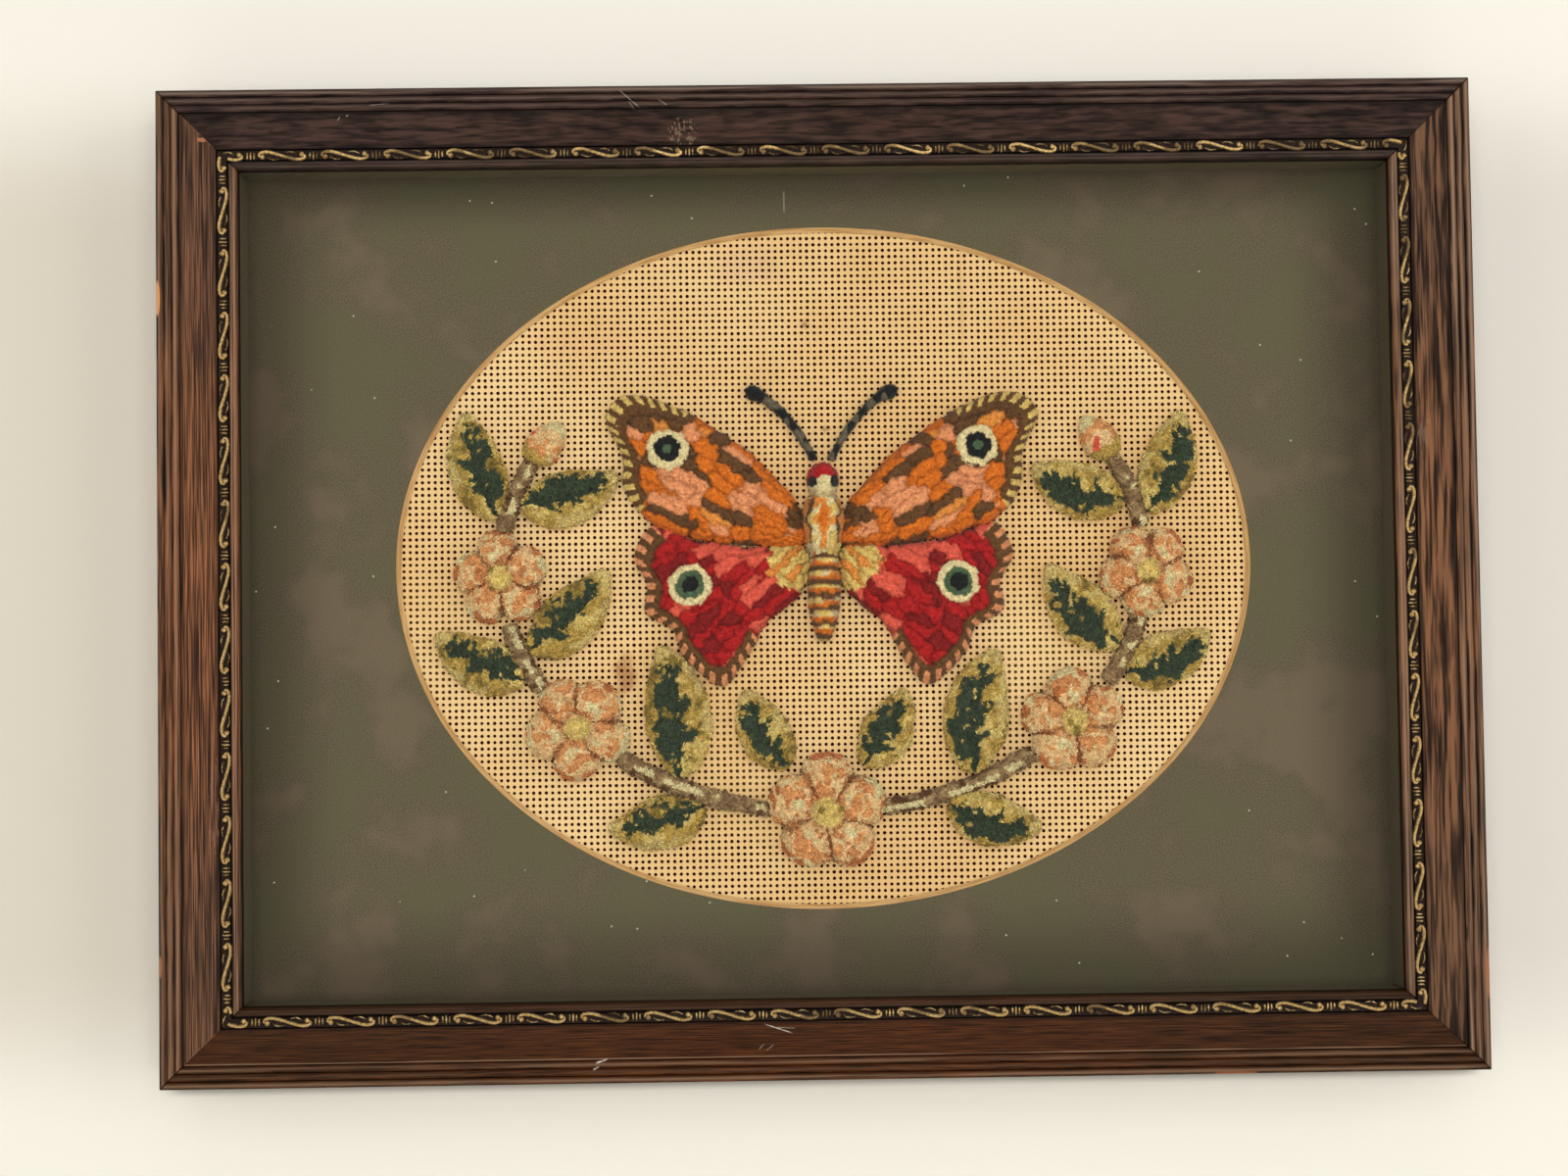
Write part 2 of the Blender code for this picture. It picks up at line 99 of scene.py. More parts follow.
# The moulding, from its outer edge inwards
REEDS_WIDTH = 6.3 * MM
REED_COUNT = 3
REED_STEPS = 10
REED_HEIGHT = 0.8 * MM
FLAT_START = 6.7 * MM
FLAT_START_DEPTH = 0.4 * MM
FLAT_END_DEPTH = 6.0 * MM
FLAT_STEPS = 8
FLAT_HOLLOW = 0.25 * MM
GROOVE_START = 15.4 * MM
GROOVE_WIDTH = 3.6 * MM
GROOVE_DEPTH = 7.7 * MM
RAIL_WIDTH = 21.3 * MM
LIP_TOP_DEPTH = 5.7 * MM
LIP_EDGE_DEPTH = 8.4 * MM
LIP_STEPS = 8
REBATE_DEPTH = 9.5 * MM
REBATE_WIDTH = 6.0 * MM
RAIL_STATION = 4 * MM
# Edges that turn more than this stay crisp
RAIL_CREASE = math.radians(38)
GILT_CREASE = math.radians(50)
MAT_CREASE = math.radians(25)
# How far the moulding's front wanders, over what length, and how far apart its lines are read
WANDER = 0.05 * MM
WANDER_SIZE = 30 * MM
WANDER_ROW = 4 * MM

# How far the varnish has worn off each side's outer, middle and inner reed, and off the edge of its flat. The
# pale worn lines also stand for painted highlights
REED_WEAR_AND_HIGHLIGHT = {
    "top": (1.2, 0.5, 0.4, 0.1),
    "right": (1.1, 0.8, 1.4, 0.15),
    "bottom": (1.1, 0.25, 0.9, 1.5),
    "left": (0.6, 0.8, 1.1, 0.15),
}
# How much darker each side's reeds and lip are made, and how much of the lip's pale crest is taken away
REED_DULL = {"top": 0.0, "right": 0.1, "bottom": 0.05, "left": 0.25}
LIP_DULL = {"top": 0.4, "right": 0.0, "bottom": 0.5, "left": 0.05}
# How far up each side's reeds the dirt and painted shade of their hollows reach, as a share of their height
REED_HOLLOW = {"top": 0.55, "right": 0.62, "bottom": 0.5, "left": 0.62}
# Wear with painted highlights, and dirt with painted shade, on the lip, from the groove to the glass
LIP_WEAR_AND_HIGHLIGHT = (0.0, 0.85, 0.1, 1.1, 0.45, 0.2, 0.0, 0.0, 0.0)
LIP_DIRT_AND_SHADE = (1.0, 0.0, 0.15, 0.0, 0.0, 0.1, 0.3, 1.0, 1.0)

# The oak. Dark and light tones of each rail's stain, which also paint light and shade: the side rails
# lighter, the top and bottom darker. And what the stain is multiplied by at the rail's ends
RAIL_TONES = {
    "top": ((27, 17, 14), (74, 51, 43), (1.0, 1.04, 1.15)),
    "right": ((40, 23, 14), (139, 94, 63), (0.76, 0.85, 0.98)),
    "bottom": ((34, 15, 4), (92, 48, 15), (0.78, 0.9, 1.25)),
    "left": ((45, 24, 15), (163, 103, 64), (0.6, 0.73, 0.93)),
}
SEAM_TONES = {"top": (14, 9, 7), "right": (12, 7, 5), "bottom": (18, 10, 6), "left": (146, 102, 74)}
# How each side's grain shows: the noise from which it turns from dark to light, and its open pores
RAIL_GRAIN = {
    "top": (0.34, 0.68, 0.35),
    "right": (0.39, 0.63, 0.6),
    "bottom": (0.3, 0.7, 0.3),
    "left": (0.39, 0.63, 0.6),
}
# A streak's width over its length
GRAIN_DRAWN = {"top": 0.04, "right": 0.016, "bottom": 0.03, "left": 0.016}
# Scale, detail and roughness of the grain, its bands, its slow drift and its pores
OAK_NOISES = ((2300, 2, 0.6), (640, 1, 0.5), (75, 1, 0.5), (3600, 1, 0.5))
# Bare patches and scuffs: place from the frame's centre, half width and half height, all in mm, the
# scratches' stretch, strength, colour
RAIL_MARKS = {
    "top": (
        ((-36.5, 125.2), (3.9, 3.6), (1.0, 1.0, 0.25), 0.5, (150, 122, 102)),
    ),
    "right": (
        ((182.2, -111.0), (0.7, 7.0), None, 0.8, (176, 104, 58)),
        ((182.2, 60.0), (0.4, 5.0), None, 0.6, (150, 100, 70)),
        ((168.0, 40.0), (2.0, 9.0), (1.0, 1.0, 0.12), 0.25, (170, 136, 112)),
    ),
    "bottom": (
        ((112.0, -137.2), (6.0, 0.5), None, 0.7, (150, 84, 44)),
    ),
    "left": (
        ((-182.0, 79.6), (0.7, 4.8), None, 1.0, (214, 150, 96)),
        ((-182.0, -104.0), (0.5, 3.0), None, 0.8, (170, 112, 76)),
        ((-170.6, 124.4), (1.1, 0.6), None, 0.9, (176, 118, 84)),
        ((-168.0, -60.0), (1.6, 12.0), (1.0, 1.0, 0.12), 0.25, (160, 122, 98)),
    ),
}
# Single scratches through the varnish: the two ends and half width in mm, strength
RAIL_SCRATCHES = {
    "top": (
        ((-54.5, 136.6), (-48.2, 131.0), 0.13, 0.5),
        ((-51.8, 133.4), (-49.8, 130.6), 0.1, 0.35),
        ((-43.4, 133.7), (-40.8, 131.8), 0.14, 0.45),
        ((-123.5, 132.6), (-117.5, 133.2), 0.14, 0.5),
        ((-132.4, 128.9), (-131.6, 129.8), 0.18, 0.7),
        ((-130.0, 129.9), (-129.2, 130.1), 0.16, 0.6),
    ),
    "right": (),
    "bottom": (
        ((-17.6, -122.6), (-9.2, -125.2), 0.2, 0.7),
        ((-15.2, -123.6), (-8.0, -123.9), 0.12, 0.5),
        ((-18.8, -129.0), (-17.2, -127.6), 0.14, 0.4),
        ((-16.8, -129.4), (-14.6, -127.8), 0.12, 0.4),
        ((-63.6, -131.9), (-60.0, -130.8), 0.3, 1.0),
        ((-64.3, -133.7), (-62.4, -132.8), 0.26, 0.9),
    ),
    "left": (),
}
SCRATCH_TONE = (222, 212, 198)

# The gilt ornament
GILT_FIT = 0.3 * MM
GILT_LIP_FIT = 0.8 * MM  # the gap between the ornament's ground and the lip, whose groove floor is painted dark as dirt and shade
GILT_GROUND = 6.9 * MM
GILT_STATION = 2 * MM
GILT_PITCH = 17.5 * MM
GILT_RISE = 0.15 * MM
GILT_TALL = 0.6 * MM
# Along, across (plus is outwards) and radius in mm, from one ball of a scroll to the other
SCROLL = (
    (-5.6, -0.4, 0.4),
    (-6.4, 0.05, 0.48),
    (-6.05, 0.8, 0.56),
    (-4.3, 1.12, 0.62),
    (-2.2, 0.7, 0.6),
    (0.0, 0.0, 0.54),
    (2.2, -0.7, 0.6),
    (4.3, -1.12, 0.62),
    (6.05, -0.8, 0.56),
    (6.4, -0.05, 0.48),
    (5.6, 0.4, 0.4),
)
SCROLL_STEPS = 19
GILT_TALLER = 1.1  # a tube's height over its width
SCROLL_LEAF = ((-0.8, -0.85, 0.08), (-1.9, -1.1, 0.2), (-3.1, -0.95, 0.26), (-4.1, -0.4, 0.12))
SCROLL_BALL = (5.5, 0.35, 0.8)
# Along, half height and radius in mm of a knot's three ribs
KNOT = ((-0.95, 0.95, 0.3), (0.0, 1.2, 0.34), (0.95, 0.95, 0.3))
# How much of each side's gilt is rubbed away
GILT_RUBBED = {"top": 0.47, "right": 0.36, "bottom": 0.36, "left": 0.34}
# Gold darker low and lighter on the crests as painted shade and highlight, its painted glint, the near-black
# ground that is partly painted shade in the hollows, and its browner flanks
GOLD_TONES = ((110, 78, 28), (208, 166, 96))
GOLD_PAINTED_GLINT = (252, 228, 174)
GILT_GROUND_TONES = ((16, 8, 4), (46, 27, 15))
GILT_FLANK = (84, 60, 36)

# The glass: its share of what a full pane would mirror, and its tint
GLASS_MIRROR = 0.12
GLASS_TINT = (0.985, 0.99, 0.985, 1)
GLASS_ROUGH = 0.04
GLASS_IOR = 1.45

# The mat and its oval
OVAL_X = 1.5 * MM
OVAL_Z = 4.3 * MM
OVAL_HALF_WIDTH = 121.9 * MM
OVAL_HALF_HEIGHT = 97.3 * MM
OVAL_BEVEL = 1.3 * MM
OVAL_ROUND = 0.12 * MM
OVAL_STEPS = 240
MAT_TONES = ((79, 71, 53), (108, 98, 76))
CORE_TONES = ((188, 142, 86), (216, 176, 120))
FILLET_TONES = ((84, 76, 56), (108, 98, 74))
MAT_GREENISH = (91, 90, 62)
MAT_WARM = (114, 99, 79)
DUST_TONE = (215, 208, 190)
# How far in from the frame the mat gets the painted shadow of the moulding, and the share of red, green and
# blue left at its edge
MAT_PAINTED_SHADOW_REACH = {"left": 28 * MM, "right": 28 * MM, "top": 17 * MM, "bottom": 30 * MM}
MAT_PAINTED_SHADOW = (0.58, 0.56, 0.56)
# Pale scuffs: the two ends and half width in mm, strength
MAT_SCUFFS = (
    ((-8.5, 112.6), (-8.5, 105.4), 0.32, 0.3),
    ((96.0, 63.6), (96.0, 56.4), 0.26, 0.4),
    ((92.4, -44.6), (92.9, -47.4), 0.3, 0.3),
)
SCUFF_TONE = (190, 182, 160)

# The punched card
HOLE_PITCH = 25.4 * MM / 14
HOLE_RADIUS = 0.51 * MM
HOLE_VARIES = 0.07  # the share by which a hole's radius differs
HOLE_SHIFT = 0.03 * MM  # how far a hole may be off its place
HOLE_SIDES = 8
HOLE_DEPTH = 0.42 * MM
HOLE_MARGIN = 1.5 * MM  # how far the punched part reaches under the mat
WOOL_COVER = 0.7 * MM  # holes this far inside a motif are filled by its wool
CARD_TONES = ((227, 186, 125), (238, 204, 148))
CARD_FLECK = (196, 156, 98)
# the holes' pits: painted shade near black, and olive as painted light from behind
HOLE_SHADE_AND_LIGHT_TONES = ((54, 13, 2), (96, 70, 30))
# Stains: x and z from the oval's centre, half width and half height, all in mm, colour, strength
CARD_STAINS = (
    (-57.0, -30.0, 3.2, 4.8, (160, 104, 60), 0.75),
    (-21.0, 86.0, 9.5, 4.5, (214, 170, 138), 0.3),
    (-4.5, 69.5, 0.9, 0.9, (140, 92, 60), 0.8),
    (1.5, 39.5, 1.3, 0.7, (120, 88, 58), 0.6),
    (40.5, 74.0, 0.7, 15.0, (206, 162, 104), 0.5),
    (-66.0, 66.0, 15.0, 4.0, (228, 178, 128), 0.35),
    (30.0, -80.0, 16.0, 5.0, (228, 186, 138), 0.3),
    (75.0, 52.0, 20.0, 9.0, (228, 190, 132), 0.35),
)

# The backing board
BACKING_TONES = ((128, 98, 64), (166, 134, 92))
BACKING_CLOUD = (118, 86, 56)

# The wool motifs: the same layout as their solids
WREATH_HALF_WIDTH = 92 * MM
WREATH_HALF_HEIGHT = 70 * MM
STEM_HALF_WIDTH = 1.9 * MM
STEM_CLEAR = 0.6 * MM
STEM_SEARCH = 0.1
STEM_STEPS = 90
LEAF_POINT = 0.7 * MM
LEAF_CLEAR = 1.3 * MM
LEAF_STRAIGHT = 0.2
LEAF_STEPS = 62
LEFT_LEAF_STRETCH = 1.05
LEFT_LEAF_SWING = math.radians(3)
LOW_LEAF_START = math.radians(52)
LOW_LEAF_CLEAR = 0.9 * MM
LOW_LEAF_LENGTH = 24 * MM
LOW_LEAF_HALF_WIDTH = 6.8 * MM
LOW_LEAF_BEND = math.radians(30)
FLOWER_PETALS = 5
FLOWER_NOTCH = 0.2
FLOWER_TURN = 0.4
FLOWER_STEPS = 120
BUD_ANGLE = 30
BUD_RADIUS = 5.5 * MM
BUD_POINT = 0.45
BUD_NARROW = 0.85
BUD_STEPS = 60
BUTTERFLY_Z = 6 * MM
WING_STEPS = 18
BODY_STEPS = 110
ANTENNA_STEPS = 70

# Angle along the wreath in degrees, radius in mm
LOW_FLOWER = (-90, 16.5)
SIDE_FLOWER = (-40, 14.5)
HIGH_FLOWER = (-2, 13.0)

# Name, angle along the wreath, swing from the stem in degrees (plus is inwards), length and half width
# in mm, and bend in degrees
LEAVES = (
    ("leaf_a", -68, -42, 26, 7.0, 34),
    ("leaf_b", -62, 66, 35, 8.8, -30),
    ("leaf_c", -25, -42, 26, 7.2, 30),
    ("leaf_d", -20, 76, 29, 7.8, -30),
    ("leaf_e", 12, -42, 29, 7.4, 24),
    ("leaf_f", 16, 58, 27, 7.4, -32),
)

# Height up the body and half width there, in mm
BODY_SECTIONS = (
    (-27.0, 1.0),
    (-22.5, 3.0),
    (-13.0, 4.4),
    (-4.5, 3.8),
    (1.0, 4.7),
    (7.0, 5.7),
    (12.5, 4.6),
    (15.0, 3.4),
    (18.5, 4.3),
    (21.5, 3.4),
    (23.0, 1.2),
)
# X and z along the right antenna and its half width, in mm
ANTENNA_SECTIONS = (
    (2.4, 24.6, 0.9),
    (6.0, 31.0, 0.9),
    (10.5, 37.0, 0.9),
    (16.0, 42.0, 1.2),
    (19.5, 43.8, 2.0),
    (21.5, 44.3, 0.9),
)

# The right wings, in mm from the butterfly's centre: outline and centre; the way the patches of pile fan out,
# in degrees, with their shares of colour; the rim, as a share of the wing's size, and from where it runs, at
# x and so much of z; its beads of colour: how many, their shift and their share; and the ringed spot
WINGS = {
    "forewing": dict(
        outline=(
            (6.4, 10.0), (19.0, 25.0), (38.0, 38.0), (54.5, 43.0), (61.5, 37.0), (57.0, 27.0),
            (56.0, 17.0), (50.0, 8.0), (38.0, 2.8), (20.0, 0.2), (5.6, 0.1),
        ),
        centre=(34.0, 18.0),
        seed=21,
        patch_seed=31,
        fan=35,
        tones=((0.34, "orange"), (0.32, "salmon"), (0.12, "light_orange"), (0.22, "brown")),
        rim=0.8,
        rim_from=57,
        slope=0.5,
        beads=("yellow", 44, 0.0, 0.5),
        spot=(44.0, 27.5),
        rings=((5.8, "cream"), (3.8, "black"), (1.5, "teal")),
    ),
    "hindwing": dict(
        outline=(
            (5.6, -0.6), (20.0, -0.6), (37.0, 1.8), (48.5, 5.6), (53.5, -3.0), (50.0, -10.5), (50.5, -18.5),
            (43.0, -23.5), (39.5, -31.5), (30.0, -39.5), (24.0, -34.0), (16.5, -22.0), (6.0, -12.0),
        ),
        centre=(30.0, -14.0),
        seed=23,
        patch_seed=37,
        fan=-38,
        tones=((0.44, "crimson"), (0.3, "coral"), (0.16, "maroon"), (0.1, "crimson")),
        rim=0.81,
        rim_from=43,
        slope=-0.9,
        beads=("salmon", 38, 0.3, 0.48),
        spot=(38.0, -11.0),
        rings=((6.0, "cream"), (4.1, "teal"), (2.4, "black")),
    ),
}

# Mounds of pile: height, slot and kind of pile
MOUNDS = {
    "flower": (7.0 * MM, "wool_pink", "ruffled"),
    "bud": (5.0 * MM, "wool_pink", "ruffled"),
    "forewing": (7.5 * MM, "wool_orange", "sheared"),
    "hindwing": (7.5 * MM, "wool_red", "sheared"),
}
# Ridges of pile: height, what it is multiplied by in the middle, points across, slot and kind of pile
RIDGES = {
    "stem": (3.2 * MM, 1.1, 17, "wool_brown", "looped"),
    "leaf": (5.0 * MM, 0.82, 33, "wool_green", "looped"),
    "antenna": (2.6 * MM, 1.15, 13, "wool_dark", "sheared"),
    "body": (9.6 * MM, 1.15, 37, "wool_cream", "sheared"),
}
# Share of a mound's outline, share of its height
MOUND_LEVELS = ((1.0, 0.34), (0.93, 0.62), (0.76, 0.84), (0.45, 0.97), (0.12, 1.0))
# Share of a ridge's half width, share of its height
RIDGE_ACROSS = ((-1.0, 0.0), (-1.0, 0.4), (-0.6, 1.0), (0.6, 1.0), (1.0, 0.4), (1.0, 0.0))
RIDGE_END_HEIGHT = 0.45
NET_SPACING = 0.46 * MM
NET_SHIFT = 0.15  # how far a point of the net wanders, as a share of its spacing
SIDE_ROWS = 4

# The pile stays between the card and the glass
GLASS_CLEAR = 0.3 * MM
WOOL_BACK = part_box("leaf_a_right")[1].y
WOOL_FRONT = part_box("glass")[1].y + GLASS_CLEAR
# Strands and loops for each square millimetre, the strands' length, width and lean, the lumps' height and
# size, how much the hollows are darkened as painted shade, how much the tones differ, and how many strands
# stand out from each millimetre of the rim
PILES = {
    "sheared": dict(
        strands=4.6, length=0.62 * MM, width=0.17 * MM, lean=0.7, loops=0.0,
        lump=0.24 * MM, lump_size=1.05 * MM, hollow=0.34, vary=0.42, rim=2.0,
    ),
    "looped": dict(
        strands=0.9, length=0.7 * MM, width=0.14 * MM, lean=1.1, loops=1.65,
        lump=0.66 * MM, lump_size=1.35 * MM, hollow=0.8, vary=0.7, rim=4.5,
    ),
    "ruffled": dict(
        strands=0.9, length=0.7 * MM, width=0.14 * MM, lean=1.1, loops=1.65,
        lump=0.62 * MM, lump_size=1.35 * MM, hollow=0.6, vary=0.5, rim=4.5,
    ),
}
RIM_HEIGHT = 1.6 * MM
STRAND_ROOT = 0.25 * MM  # how deep a strand starts in its form
STRAND_ROOT_SHADE_TIP_HIGHLIGHT = (0.62, 1.15)  # a strand's brightness: painted shade at its root, a painted highlight at its tip
LOOP_STATIONS = 4
LOOP_RADIUS = 0.58 * MM
LOOP_THICK = 0.2 * MM
LOOP_START = 15  # where a loop leaves the pile, and how far it turns, in degrees
LOOP_TURN = 150

# Wool colours as they look on the piece
WOOL = {
    "orange": (230, 124, 40),
    "light_orange": (238, 154, 72),
    "salmon": (246, 164, 112),
    "brown": (112, 78, 48),
    "crimson": (190, 40, 40),
    "coral": (240, 104, 82),
    "maroon": (146, 38, 38),
    "yellow": (240, 208, 120),
    "cream": (240, 222, 168),
    "teal": (86, 108, 80),
    "black": (38, 40, 40),
    "grey": (112, 104, 86),
    "olive": (202, 170, 86),
    "light_olive": (234, 204, 122),
    "deep_olive": (156, 132, 64),
    "bottle": (64, 77, 58),
    "celadon": (230, 204, 130),
    "rust": (238, 168, 106),
    "deep_rust": (208, 130, 78),
    "pink": (252, 208, 150),
    "stem": (150, 120, 84),
    "taupe": (178, 150, 106),
}
# What the wool's colours are multiplied by in the fine dark flecks of the yarn
WOOL_FLECK = (186, 180, 172)
WOOL_SHEEN = 0.12
WOOL_SHEEN_ROUGH = 0.5

# The stage: how far the wall reaches, how high its top is, how far the floor is under the frame's centre, the
# wall's gap behind the frame, how thick it is, and how far it laps behind the frame
WALL_REACH = 1.6
WALL_TOP = 1.4
FLOOR_DROP = 1.05
FLOOR_REACH = 2.0
WALL_GAP = 0.6 * MM
WALL_THICK = 1 * MM
WALL_LAP = 3 * MM
PAINT_TONE = (242, 239, 229)
# The wall's shade beside the frame: from where to where it grows and fades, how it ends past the frame's top
# and bottom, and its tones on the left and on the right
SHADE_GROWS = (120 * MM, 210 * MM)
SHADE_FADES = (340 * MM, 230 * MM)
SHADE_PAST = 18 * MM
SHADE_SHORT = 34 * MM
SHADE_TONES = ((218, 211, 197), (222, 218, 210))
# The line of shadow under the frame: how far it reaches down, its soft edge, its ends up and past the sides
SHADOW_DOWN = 4.6 * MM
SHADOW_SOFT = 3 * MM
SHADOW_UP = 6 * MM
SHADOW_PAST = 8 * MM
SHADOW_TONE = (118, 110, 102)

# Name, place from the frame's centre, width and height, all in metres, power in watts, colour
LIGHTS = (
    ("left_window", (-1.15, -0.95, 0.1), (0.9, 1.3), 3.6, (1.0, 0.985, 0.955)),
    ("right_window", (1.15, -0.95, 0.1), (0.9, 1.3), 5.8, (1.0, 0.985, 0.955)),
    ("ceiling", (0.0, -0.9, 1.2), (1.4, 0.8), 2.0, (1.0, 0.98, 0.95)),
    ("high_front", (0.0, -1.9, 0.88), (1.4, 0.5), 3.6, (1.0, 0.98, 0.95)),
    ("front", (0.0, -1.5, 0.0), (1.0, 0.7), 12.0, (1.0, 0.98, 0.95)),
    ("behind", (0.5, 1.7, 0.7), (1.4, 1.0), 16.0, (1.0, 0.98, 0.95)),
)
ROOM_COLOUR = (1.0, 0.975, 0.93, 1)
ROOM_LIGHT = 0.2

# Where the camera stood, from the centre of the frame, and how it was held
CAMERA_PLACE = (-18.5 * MM, -678.2 * MM, -25.1 * MM)
CAMERA_PITCH = math.radians(1.99)
CAMERA_ROLL = math.radians(0.77)
CAMERA_YAW = math.radians(-0.73)
CAMERA_LENS = 54.1
CAMERA_SENSOR = 36
CAMERA_NEAR = 10 * MM


# Geometry helpers


def at(x, z, depth):
    """A point of the picture, from the frame's centre and its front plane."""
    return Vector((x, CAD_LOW.y + depth, CENTRE_Z + z))


def front_place(x, z):
    """The scene's X and Z of a place on the picture, given in mm from the frame's centre."""
    return x * MM, CENTRE_Z + z * MM


def from_oval(points):
    """The X and Z of points, from the oval's centre."""
    return points[:, 0] - OVAL_X, points[:, 2] - CENTRE_Z - OVAL_Z


def linear(colour):
    """A colour given in parts of 255, as light."""
    share = np.asarray(colour, float) / 255
    return np.where(share <= 0.04045, share / 12.92, ((share + 0.055) / 1.055) ** 2.4)


def hashed(i, j, seed):
    """An even random number from 0 to 1 for each cell of a grid."""
    mixed = (i.astype(np.int64) * 374761393 + j.astype(np.int64) * 668265263 + seed * 144269504) & 0xFFFFFFFF
    mixed = ((mixed ^ (mixed >> 13)) * 1274126177) & 0xFFFFFFFF
    return ((mixed ^ (mixed >> 16)) & 0xFFFFFF) / 0xFFFFFF


def noise(x, z, size, seed):
    """Smooth noise from -1 to 1."""
    u, v = x / size, z / size
    i, j = np.floor(u), np.floor(v)
    fu, fv = u - i, v - j
    fu, fv = fu * fu * (3 - 2 * fu), fv * fv * (3 - 2 * fv)
    low = hashed(i, j, seed) * (1 - fu) + hashed(i + 1, j, seed) * fu
    high = hashed(i, j + 1, seed) * (1 - fu) + hashed(i + 1, j + 1, seed) * fu
    return 2 * (low * (1 - fv) + high * fv) - 1


def cells(x, z, size, seed):
    """Distances to the two nearest scattered points, in cell sizes, and the nearest one's own number."""
    u, v = x / size, z / size
    i, j = np.floor(u), np.floor(v)
    first = np.full(u.shape, 9.0)
    second = np.full(u.shape, 9.0)
    own = np.zeros(u.shape)
    for di in (-1, 0, 1):
        for dj in (-1, 0, 1):
            ci, cj = i + di, j + dj
            du = ci + 0.1 + 0.8 * hashed(ci, cj, seed) - u
            dv = cj + 0.1 + 0.8 * hashed(ci, cj, seed + 7) - v
            away = np.hypot(du, dv)
            nearer = away < first
            second = np.where(nearer, first, np.minimum(second, away))
            own = np.where(nearer, hashed(ci, cj, seed + 13), own)
            first = np.where(nearer, away, first)
    return first, second, own


def unit(vectors):
    """Vectors of length 1, one in each row."""
    return vectors / np.maximum(np.linalg.norm(vectors, axis=1)[:, None], 1e-12)


def between(p0, p1, p2, p3, t):
    """A place from p1 (t is 0) to p2 (t is 1) on the smooth curve through four points."""
    return p1 + 0.5 * t * (p2 - p0 + t * (2 * p0 - 5 * p1 + 4 * p2 - p3 + t * (3 * (p1 - p2) + p3 - p0)))


def eased(rows, count):
    """Rows of numbers eased into a longer run of rows that passes through them all."""
    rows = np.array(rows, float)
    stations = np.linspace(0, len(rows) - 1, count)
    k = np.minimum(stations.astype(int), len(rows) - 2)
    near = [rows[np.clip(k + shift, 0, len(rows) - 1)] for shift in (-1, 0, 1, 2)]
    return between(*near, (stations - k)[:, None])


def dent(away, width):
    """1 where a distance is 0, falling off smoothly on both sides."""
    return np.exp(-((away / width) ** 2))


def rings(aside, other, sides):
    """Directions round a strand, from two that stand across it, for each of its sides."""
    turns = 2 * np.pi * np.arange(sides) / sides
    return aside[:, None] * np.cos(turns)[None, :, None] + other[:, None] * np.sin(turns)[None, :, None]


# Mesh helpers


def mesh_from(name, points, faces):
    """A mesh of these points and faces."""
    mesh = bpy.data.meshes.new(name)
    mesh.from_pydata(points, [], faces)
    mesh.validate()
    return mesh


def closed_mesh(name, points, faces):
    """A mesh of one or more closed bodies, with its faces pointing out."""
    mesh = mesh_from(name, points, faces)
    shape = bmesh.new()
    shape.from_mesh(mesh)
    bmesh.ops.recalc_face_normals(shape, faces=shape.faces)
    shape.to_mesh(mesh)
    shape.free()
    return mesh


def face_rows(rows, columns):
    """Quads between rows of points, each row a closed loop."""
    i, j = np.meshgrid(np.arange(rows - 1), np.arange(columns), indexing="ij")
    near = i * columns + j
    beside = i * columns + (j + 1) % columns
    return np.stack([near, beside, beside + columns, near + columns], -1).reshape(-1, 4).tolist()


def tube_faces(rows, columns):
    """Quads between rows of points, each row a closed loop, with a face over each end."""
    ends = [list(range(columns)), list(range((rows - 1) * columns, rows * columns))]
    return face_rows(rows, columns) + ends


def put_values(mesh, name, values):
    """Give each point a number that its material reads."""
    mesh.attributes.new(name, "FLOAT", "POINT").data.foreach_set("value", values)


def put_colours(mesh, name, colours):
    """Give each point a colour that its material reads."""
    shown = np.concatenate([colours, np.ones((len(colours), 1))], 1)
    layer = mesh.color_attributes.new(name, "FLOAT_COLOR", "POINT")
    layer.data.foreach_set("color", np.clip(shown, 0, 1).ravel())


def linked(name, data):
    """A new object in the scene."""
    made = bpy.data.objects.new(name, data)
    bpy.context.scene.collection.objects.link(made)
    return made


def new_piece(name, mesh, node_name, materials, smooth=True):
    """An object of the picture that stands for one of its solids."""
    for material in materials:
        mesh.materials.append(material)
    made = linked(name, mesh)
    if smooth:
        mesh.shade_smooth()
    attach(made, "root")
    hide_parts(node_name)
    return made


def dress(node_name, material):
    """Give one of the picture's own solids its material."""
    materials = frame["nodes"][node_name].data.materials
    materials.clear()
    materials.append(material)


# Material helpers


